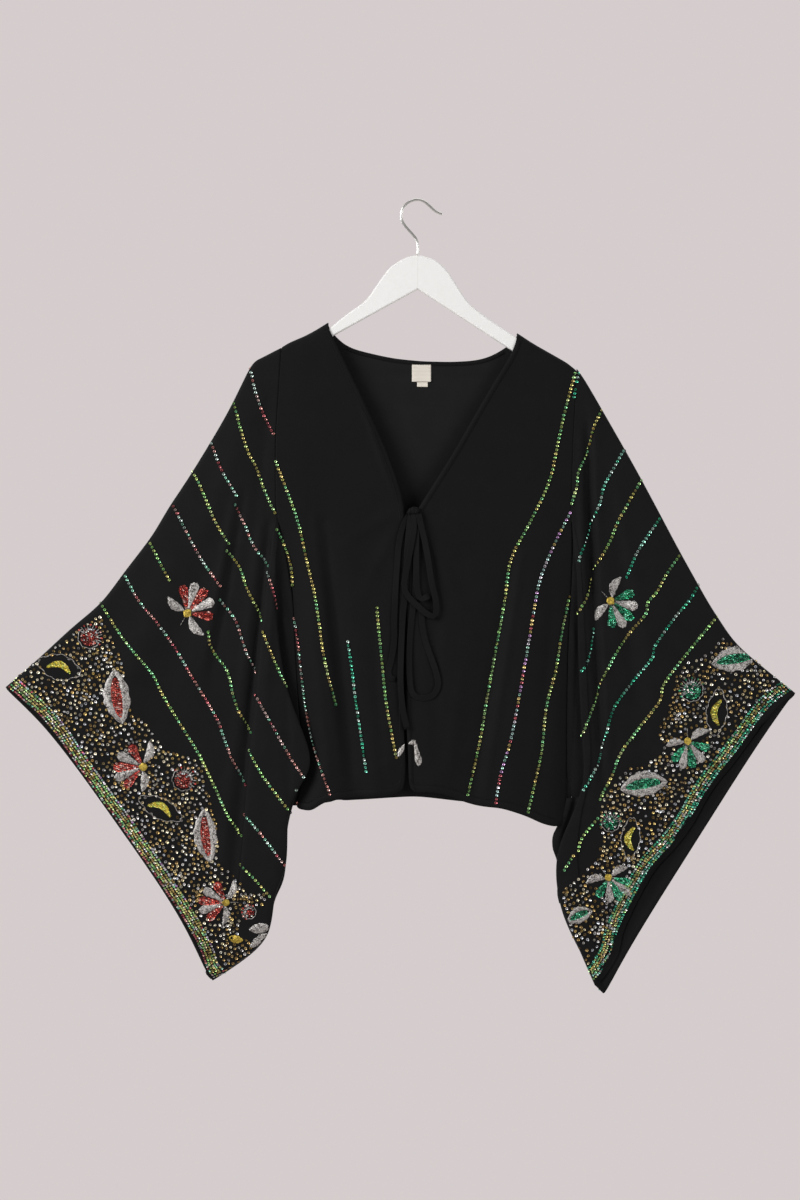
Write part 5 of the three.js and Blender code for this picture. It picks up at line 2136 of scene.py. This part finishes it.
RIBBONS = (
    Ribbon("tie_loop_low", 1, "object", (
        (-3, -417.3), (-3, -440), (-2, -464), (-2, -515), (-7, -555), (-10, -596), (-10, -632),
        (-7, -654), (4, -662), (20, -659), (28, -645), (25, -627), (18, -607), (11, -586), (7, -565),
        (6, -545))),
    Ribbon("tie_loop_left", 1, "object", (
        (-11, -417.3), (-18, -432), (-22, -446), (-25, -465), (-27, -494), (-29, -527), (-30, -559),
        (-30, -585), (-34, -610), (-38, -626), (-36, -635), (-29, -637))),
    Ribbon("tie_tail_long", 2, "bare", (
        (-9, -417.3), (-12, -450), (-14, -485), (-16, -523), (-19, -555), (-21, -596), (-22, -637),
        (-20, -668), (-17, -687), (-13, -703))),
    Ribbon("tie_tail_short", 2, "bare", (
        (-1, -417.3), (-1, -450), (-1, -485), (0, -515), (4, -530), (10, -529), (16, -526))),
    Ribbon("tie_loop_front", 3, "object", (
        (-5, -417.3), (-4, -436), (-9, -466), (-15, -497), (-17, -514), (-12, -527), (1, -540),
        (14, -551), (23, -553), (26, -543), (24, -528), (19, -507), (15, -480), (10, -453), (5, -432),
        (2, -417.3))),
)

# Rows of height, place across, and the depths of the front and back cloth, in millimetres.
LEFT_SEAM = (
    (-196.8, -180.4, 7, 7), (-319, -189, 9, 9), (-412, -189, 9, 9), (-460, -177, 6, 8.5),
    (-530, -165, 4, 7.5), (-600, -163, 4, 7), (-680, -158, 3.5, 5), (-767, -149, 0.9, 0.9),
    (-806, -164, 0.9, 0.9),
)
RIGHT_SEAM = (
    (-229.5, 210.9, 7, 7), (-319, 208, 9, 9), (-412, 205, 9, 9), (-460, 208, 6, 8.5), (-530, 205, 4, 7.5),
    (-600, 201, 4, 7), (-680, 200, 3.5, 5), (-790, 200, 0.9, 0.9), (-829, 197, 0.9, 0.9),
)
RIGHT_UNDERARM_FOLD = UnderarmFold(
    "fold_underarm_right",
    route_from_photo((566, 798), (563, 812), (557, 826), (552.5, 836), (552.5, 848), (556.5, 860),
                     (558.5, 875), (557, 892), (559, 903)),
    route_from_photo((582, 796), (583, 812), (581, 830), (579, 846), (577, 860), (576, 874),
                     (575, 886), (573, 897), (568, 905)),
    "cloth_sleeve_right", 3.2,
)
SEAMS = (SeamAllowance("seam_left", LEFT_SEAM), SeamAllowance("seam_right", RIGHT_SEAM))

NECK_LEFT = ((-115, -172), (-113, -180), (-95, -218), (-74, -260), (-51, -309), (-34, -352), (-19, -395),
             (-15, -425))
NECK_RIGHT = ((131, -188), (128, -201), (106, -236), (82, -277), (61, -314), (43, -345), (11, -395),
              (-9, -425))
NECK_BACK = ((-109, -186), (-81, -198), (-34, -209), (6, -213), (50, -214), (90, -211), (118, -196))
OPENING_LEFT = ((-15, -432), (-15, -462), (-16, -495), (-17, -535), (-18, -595), (-18, -665), (-18, -705),
                (-15, -745), (-16, -782))
OPENING_RIGHT = ((-11, -432), (-11, -462), (-12, -495), (-13, -535), (-14, -595), (-14, -665), (-14, -705),
                 (-11, -745), (-12, -784))
HEM_LEFT = route_from_photo(
    (294, 807), (306, 810.5), (315, 806.6), (330, 799.5), (354, 796.6), (387, 795), (404, 789.5))
HEM_RIGHT = route_from_photo(
    (410, 791), (440, 792), (454, 795.7), (464, 801), (480, 806), (510.2, 807.9), (525.5, 815.6),
    (538.3, 821.9), (549.7, 827), (562, 826))
HEM_BACK = ((-162, -808), (-90, -800), (0, -795), (100, -806), (196, -832))

STRIPES = SequinStripes((
    Stripe(Dye.ROSE, ((250.5, 369), (256.6, 395), (265.8, 419.6), (275.6, 438))),
    Stripe(Dye.LIME, ((234.3, 404), (245.9, 445.6), (256.6, 468.6), (265.8, 493), (275, 513))),
    Stripe(Dye.LIME, ((277, 530), (287, 551), (291.8, 569.6), (292.7, 585))),
    Stripe(Dye.ROSE, ((212.2, 444), (218.4, 462), (226, 477.7), (236.7, 495.5))),
    Stripe(Dye.ROSE, ((235.2, 505), (245.9, 526.7), (253.6, 545), (268.9, 566))),
    Stripe(Dye.ROSE, ((268, 572.6), (273.5, 591), (276.5, 608))),
    Stripe(Dye.LIME, ((193, 472), (200, 485), (215.3, 520.6), (229, 543.5))),
    Stripe(Dye.LIME, ((227, 551), (239.8, 566.5), (247.4, 588), (262.7, 620))),
    Stripe(Dye.LIME, ((263.7, 632), (275, 661), (286.6, 686))),
    Stripe(Dye.ROSE, ((172, 503), (200, 556), (220.8, 586))),
    Stripe(Dye.ROSE, ((220, 600), (235, 618.5), (243, 640), (249, 658), (258, 675))),
    Stripe(Dye.ROSE, ((256.6, 695), (273.5, 725.7), (288.8, 753), (304, 776))),
    Stripe(Dye.LIME, ((149, 540), (160, 562), (170, 580))),
    Stripe(Dye.LIME, ((209, 632), (212, 649), (227.5, 670.6), (233.7, 695), (241.3, 715), (251.4, 732))),
    Stripe(Dye.LIME, ((250, 750), (261, 771.6), (276.5, 793), (288, 808))),
    Stripe(Dye.ROSE, ((124, 573), (139, 600), (158, 623), (176, 648.5), (194, 679), (216.8, 717),
          (224.5, 738), (234.7, 763), (246, 784))),
    Stripe(Dye.ROSE, ((245, 814), (263, 835), (287, 867))),
    Stripe(Dye.LIME, ((101, 603), (120, 633), (138, 656), (153, 674), (163, 694), (178.6, 720),
          (199, 753), (214, 784), (229.6, 817), (242, 835))),
    Stripe(Dye.LIME, ((241, 864), (255, 878), (270, 895))),
    Stripe(Dye.LIME, ((276, 462), (283, 480), (298, 521), (307, 560), (316, 600), (325, 660),
          (335.6, 704))),
    Stripe(Dye.ROSE, ((294.3, 618.5), (298, 641.5), (305.6, 704), (314.8, 747), (330, 793))),
    Stripe(Dye.TEAL, ((348, 641.5), (352, 668), (356.3, 702), (362, 740), (366.4, 770.5))),
    Stripe(Dye.LIME, ((377, 608), (378, 620), (382, 660), (386, 700), (391, 730), (396, 757))),
    Stripe(Dye.ROSE, ((296.7, 789), (297.4, 796), (298, 803))),
    Stripe(Dye.LIME, ((574.5, 374), (564, 413.5), (558, 441), (549, 481), (530.5, 520.6),
          (510.6, 560), (504.5, 600), (495, 652), (486, 701), (480, 738), (467.5, 794))),
    Stripe(Dye.OPAL, ((569.7, 513), (553.5, 545), (539.7, 579), (533.6, 609), (527.4, 646),
          (519.8, 689), (510.6, 738), (500, 774.6), (495.3, 802))),
    Stripe(Dye.LIME, ((568.8, 597), (561, 634), (555, 670.6), (545.8, 707), (541, 750), (533.6, 784),
          (527.4, 811))),
    Stripe(Dye.TEAL, ((578, 374), (575.6, 386), (573.5, 398))),
    Stripe(Dye.LIME, ((600.5, 411), (593, 429), (589, 446), (578.5, 471), (576.6, 486.5), (571, 504))),
    Stripe(Dye.TEAL, ((624.5, 448), (614, 467), (603.4, 486.5), (598.6, 505.6), (589, 528.5),
          (583, 546), (578.5, 561))),
    Stripe(Dye.LIME, ((640.7, 480.7), (627, 504), (616, 525), (610, 540), (594, 569))),
    Stripe(Dye.LIME, ((590, 579), (586, 597), (577.6, 613))),
    Stripe(Dye.TEAL, ((660.8, 516), (644.5, 540), (635, 555), (626.4, 577))),
    Stripe(Dye.TEAL, ((593, 629), (587, 661), (578.6, 674))),
    Stripe(Dye.LIME, ((680.5, 553), (665.6, 574.5), (656, 592), (646.5, 603), (644.5, 614.6),
          (625, 638), (612, 659), (601, 682), (594, 702), (581.6, 735))),
    Stripe(Dye.TEAL, ((698, 585), (688.8, 600), (673.5, 618), (654, 646), (650.5, 659), (627.6, 687),
          (612, 710), (604.6, 738), (596, 766), (583, 789))),
    Stripe(Dye.LIME, ((716, 617), (683.7, 656), (663, 684), (658, 702), (632.7, 735), (620, 753),
          (609.7, 779), (599.5, 799))),
    Stripe(Dye.LIME, ((597, 818), (581.6, 837), (577.8, 850))),
    Stripe(Dye.LIME, ((572.7, 855), (568, 862), (563.8, 869))),
))

LEFT_CUFF = route_from_photo(
    (5.6, 688), (20.4, 700.8), (38.3, 717.3), (54.8, 736.5), (76.5, 768.4), (102, 804), (127.6, 839.8),
    (153, 876.8), (178.6, 915), (196.4, 947), (204, 967.3), (211, 978))
RIGHT_CUFF = route_from_photo(
    (793, 692.5), (778, 702), (765.3, 714.8), (744.9, 742.9), (729.6, 763.3), (716.8, 778.6),
    (704, 797.7), (688.8, 824.5), (673.5, 844.9), (653, 867.9), (637.8, 893.4), (627.6, 913.8),
    (619.9, 931.6), (614.8, 952), (604.6, 969.9), (595, 982))
RIGHT_BACK_CUFF = route_from_photo(
    (794.6, 694.4), (785.7, 707.1), (770.4, 730.1), (755.1, 753.1), (737.2, 776), (724.5, 799),
    (716.8, 814.3), (701.5, 837.2), (678.6, 867.9), (658.2, 895.9), (640.3, 926.5), (627.6, 952),
    (614.8, 975), (606, 992))
LEFT_STRIPE_STARTS = route_from_photo(
    (252, 371), (236, 406), (214, 445), (195, 473), (174, 504), (151, 541), (126, 575), (104, 604))
RIGHT_STRIPE_STARTS = route_from_photo(
    (598, 412), (622, 449), (639, 482), (658, 517), (678, 554), (696, 586), (713, 617))
SLEEVE_BACKS = (
    SleeveBack("cloth_sleeve_left", LEFT_STRIPE_STARTS, (0.578, -0.816), (Dye.ROSE, Dye.LIME), 60),
    SleeveBack("cloth_sleeve_right", RIGHT_STRIPE_STARTS, (-0.534, -0.846), (Dye.LIME, Dye.TEAL), 80),
)
BODY_BACK_STRIPES = (
    ((-160, -420), (-150, -790), Dye.LIME),
    ((-118, -225), (-108, -790), Dye.ROSE),
    ((-66, -235), (-60, -788), Dye.TEAL),
    ((-14, -240), (-12, -786), Dye.LIME),
    ((38, -240), (36, -788), Dye.OPAL),
    ((90, -235), (84, -792), Dye.LIME),
    ((142, -230), (134, -800), Dye.TEAL),
    ((186, -430), (180, -812), Dye.ROSE),
)
LEFT_SCATTER_EDGE = route_from_photo(
    (100.8, 615), (110, 633), (120, 655), (125, 674), (131, 710), (153, 730), (166, 750), (194, 758),
    (204, 766), (204, 784), (214, 804), (218, 832), (219, 862), (236, 876), (250, 892), (270, 894),
    (266, 904), (242, 905), (240, 932), (256, 944), (244.9, 957.1))
RIGHT_SCATTER_EDGE = route_from_photo(
    (721, 638), (712, 651), (686, 662.5), (676, 674), (670, 702), (658, 730), (663, 753), (643, 766),
    (628, 764.5), (617, 781), (602, 801.5), (599.5, 822), (599.5, 855), (582, 874), (561, 891),
    (567.6, 918.9), (579, 954.6))

BANDS = (
    EdgeBand("band_neck_left", Side.FRONT, "cloth_front_left", NECK_LEFT, 7.5, -1),
    EdgeBand("band_neck_right", Side.FRONT, "cloth_front_right", NECK_RIGHT, 7.5, 1),
    EdgeBand("band_neck_back", Side.FRONT, "cloth_back", NECK_BACK, 6.5, -1),
    EdgeBand("band_opening_left", Side.FRONT, "cloth_front_left", OPENING_LEFT, 6.5, -1),
    EdgeBand("band_opening_right", Side.FRONT, "cloth_front_right", OPENING_RIGHT, 6.5, 1),
    EdgeBand("band_hem_left", Side.FRONT, "cloth_front_left", HEM_LEFT, 11.5, 1),
    EdgeBand("band_hem_right", Side.FRONT, "cloth_front_right", HEM_RIGHT, 11.5, 1),
    EdgeBand("band_hem_back", Side.BACK, "cloth_back", HEM_BACK, 11.5, 1),
    EdgeBand("band_cuff_left", Side.FRONT, "cloth_sleeve_left", LEFT_CUFF, 4.0, 1),
    EdgeBand("band_cuff_right", Side.FRONT, "cloth_sleeve_right", RIGHT_CUFF, 4.0, -1),
    EdgeBand("band_cuff_left_back", Side.BACK, "cloth_sleeve_left", LEFT_CUFF, 4.0, 1),
    EdgeBand("band_cuff_right_back", Side.BACK, "cloth_sleeve_right", RIGHT_BACK_CUFF, 4.0, -1),
)


def flower(pixel: Point2, angle: float, dye: Dye, size: float = 1.0, hand: int = 1) -> Flower:
    """Return a flower with its centre at a pixel of the photograph."""
    return Flower(from_photo(pixel), angle, dye, size, hand)


def edged_leaf(start: Point2, end: Point2, dye: Dye, width: float) -> EdgedLeaf:
    """Return an edged leaf between two pixels of the photograph."""
    a, b = from_photo(start), from_photo(end)
    centre = ((a[0] + b[0]) / 2, (a[1] + b[1]) / 2)
    angle = math.degrees(math.atan2(b[1] - a[1], b[0] - a[0]))
    return EdgedLeaf(centre, angle, dye, math.dist(a, b), width)


LEFT_MOTIFS = (
    flower((143.5, 766.5), 180, Dye.RED, 0.97),
    flower((226, 902), 175, Dye.RED, 0.88),
    edged_leaf((123, 723.7), (115.4, 668.9), Dye.RED, 33),
    edged_leaf((210.8, 862), (204.6, 808), Dye.RED, 29),
    Crescent(from_photo((60, 667)), -15, 38, 34),
    Crescent(from_photo((161, 808)), -27, 40, 28),
    Blossom(from_photo((90, 637)), 55, Dye.RED),
    Blossom(from_photo((184, 779)), 40, Dye.RED),
    Blossom(from_photo((250, 911)), 150, Dye.RED, 8),
    LoneLeaf(Blade(from_photo((249.5, 928.5)), 8, 29, 13), "silver"),
    LoneLeaf(Blade(from_photo((250.5, 946)), 37, 32, 11), "silver"),
    LoneLeaf(Blade(from_photo((229, 937)), -8, 20, 10), "gold"),
)
RIGHT_MOTIFS = (
    flower((687, 741), -79, Dye.LEAF, 0.88, -1),
    flower((608, 877), -60, Dye.LEAF, 0.85),
    edged_leaf((711, 664), (756, 657), Dye.LEAF, 31),
    edged_leaf((619.7, 789), (667, 781), Dye.LEAF, 31),
    edged_leaf((567, 921), (592, 910), Dye.LEAF, 20),
    Crescent(from_photo((716, 712)), 84, 40, 28),
    Crescent(from_photo((630, 838)), 86, 36, 26),
    Blossom(from_photo((691, 690)), 120, Dye.LEAF),
    Blossom(from_photo((610, 822)), 100, Dye.LEAF, 11),
)
LOOSE_FLOWERS = (
    flower((188, 613), 52, Dye.RED),
    flower((610, 601), -39, Dye.LEAF, 0.95, -1),
)
OPENING_PETALS = (
    LoneLeaf(Blade(from_photo((404.5, 743.5)), -117, 19, 6.5), "silver"),
    LoneLeaf(Blade(from_photo((408.5, 743.5)), 25, 11, 6), "silver"),
    LoneLeaf(Blade(from_photo((414.5, 740)), -79, 34, 8.5, BladeForm.WEDGE), "silver"),
)
LEFT_ROWS = (Dye.ROSE, Dye.LIME, Dye.GOLD, Dye.LIME, Dye.OPAL)
RIGHT_ROWS = (Dye.TEAL, Dye.TEAL, Dye.GOLD, Dye.LIME, Dye.TEAL)
CUFF_BORDERS = tuple(
    CuffBorder(side, panel, cuff, edge, motifs, rows)
    for side, right_cuff in ((Side.FRONT, RIGHT_CUFF), (Side.BACK, RIGHT_BACK_CUFF))
    for panel, cuff, edge, motifs, rows in (
        ("cloth_sleeve_left", LEFT_CUFF, LEFT_SCATTER_EDGE, LEFT_MOTIFS, LEFT_ROWS),
        ("cloth_sleeve_right", right_cuff, RIGHT_SCATTER_EDGE, RIGHT_MOTIFS, RIGHT_ROWS),
    )
)


def main() -> None:
    """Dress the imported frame."""
    logging.basicConfig(level=logging.INFO, format="%(message)s")
    studio = Studio()
    studio.place_camera()

    crepe = WovenCrepe("black_georgette").material()
    # The sleeves take a lighter copy of the same crepe: painted light, as the sleeves catch more light than
    # the body.
    lit_sleeve_crepe = WovenCrepe("black_georgette_sleeves", dark="#0b0b0c", light="#121213").material()
    reverse = WovenCrepe("black_georgette_reverse", dark="#121213", light="#181819").material()
    cloth = [
        panel.build(lit_sleeve_crepe if "sleeve" in panel.node else crepe, reverse) for panel in PANELS
    ]
    surface = ClothSurface(cloth)

    knot = TieKnot().build(surface, crepe)
    for ribbon in RIBBONS:
        ribbon.build(surface, knot, crepe)

    tape = CottonTape("label_tape").material()
    NeckPatch("label", -6.7, 18.8, -217.6, -240.4, 1.2).build(surface, tape)
    NeckPatch("label_tab", 0.2, 14.5, -240.8, -247.2, 0.8).build(surface, tape)
    HangerWood().build(SatinPaint("satin_paint").material())
    HookWire().build(ChromedSteel("bright_chromium").material())
    RIGHT_UNDERARM_FOLD.build(lit_sleeve_crepe)

    for seam in SEAMS:
        seam.build(surface, crepe)

    sewing = Sewing(surface, random.Random(SEED))
    for band in BANDS:
        band.build(surface, crepe)
        band.stitch(sewing)
    STRIPES.sew_front(sewing)
    for petal in OPENING_PETALS:
        petal.sew(sewing, Side.FRONT)
    for sleeve in SLEEVE_BACKS:
        STRIPES.sew_sleeve_back(sewing, sleeve)
    STRIPES.sew_body_back(sewing, BODY_BACK_STRIPES)
    for motif in LOOSE_FLOWERS:
        motif.sew(sewing, Side.FRONT)
    for border in CUFF_BORDERS:
        border.sew(sewing)
    sewing.build(crepe)

    studio.light()
    studio.lay_floor()


if __name__ == "__main__":
    main()
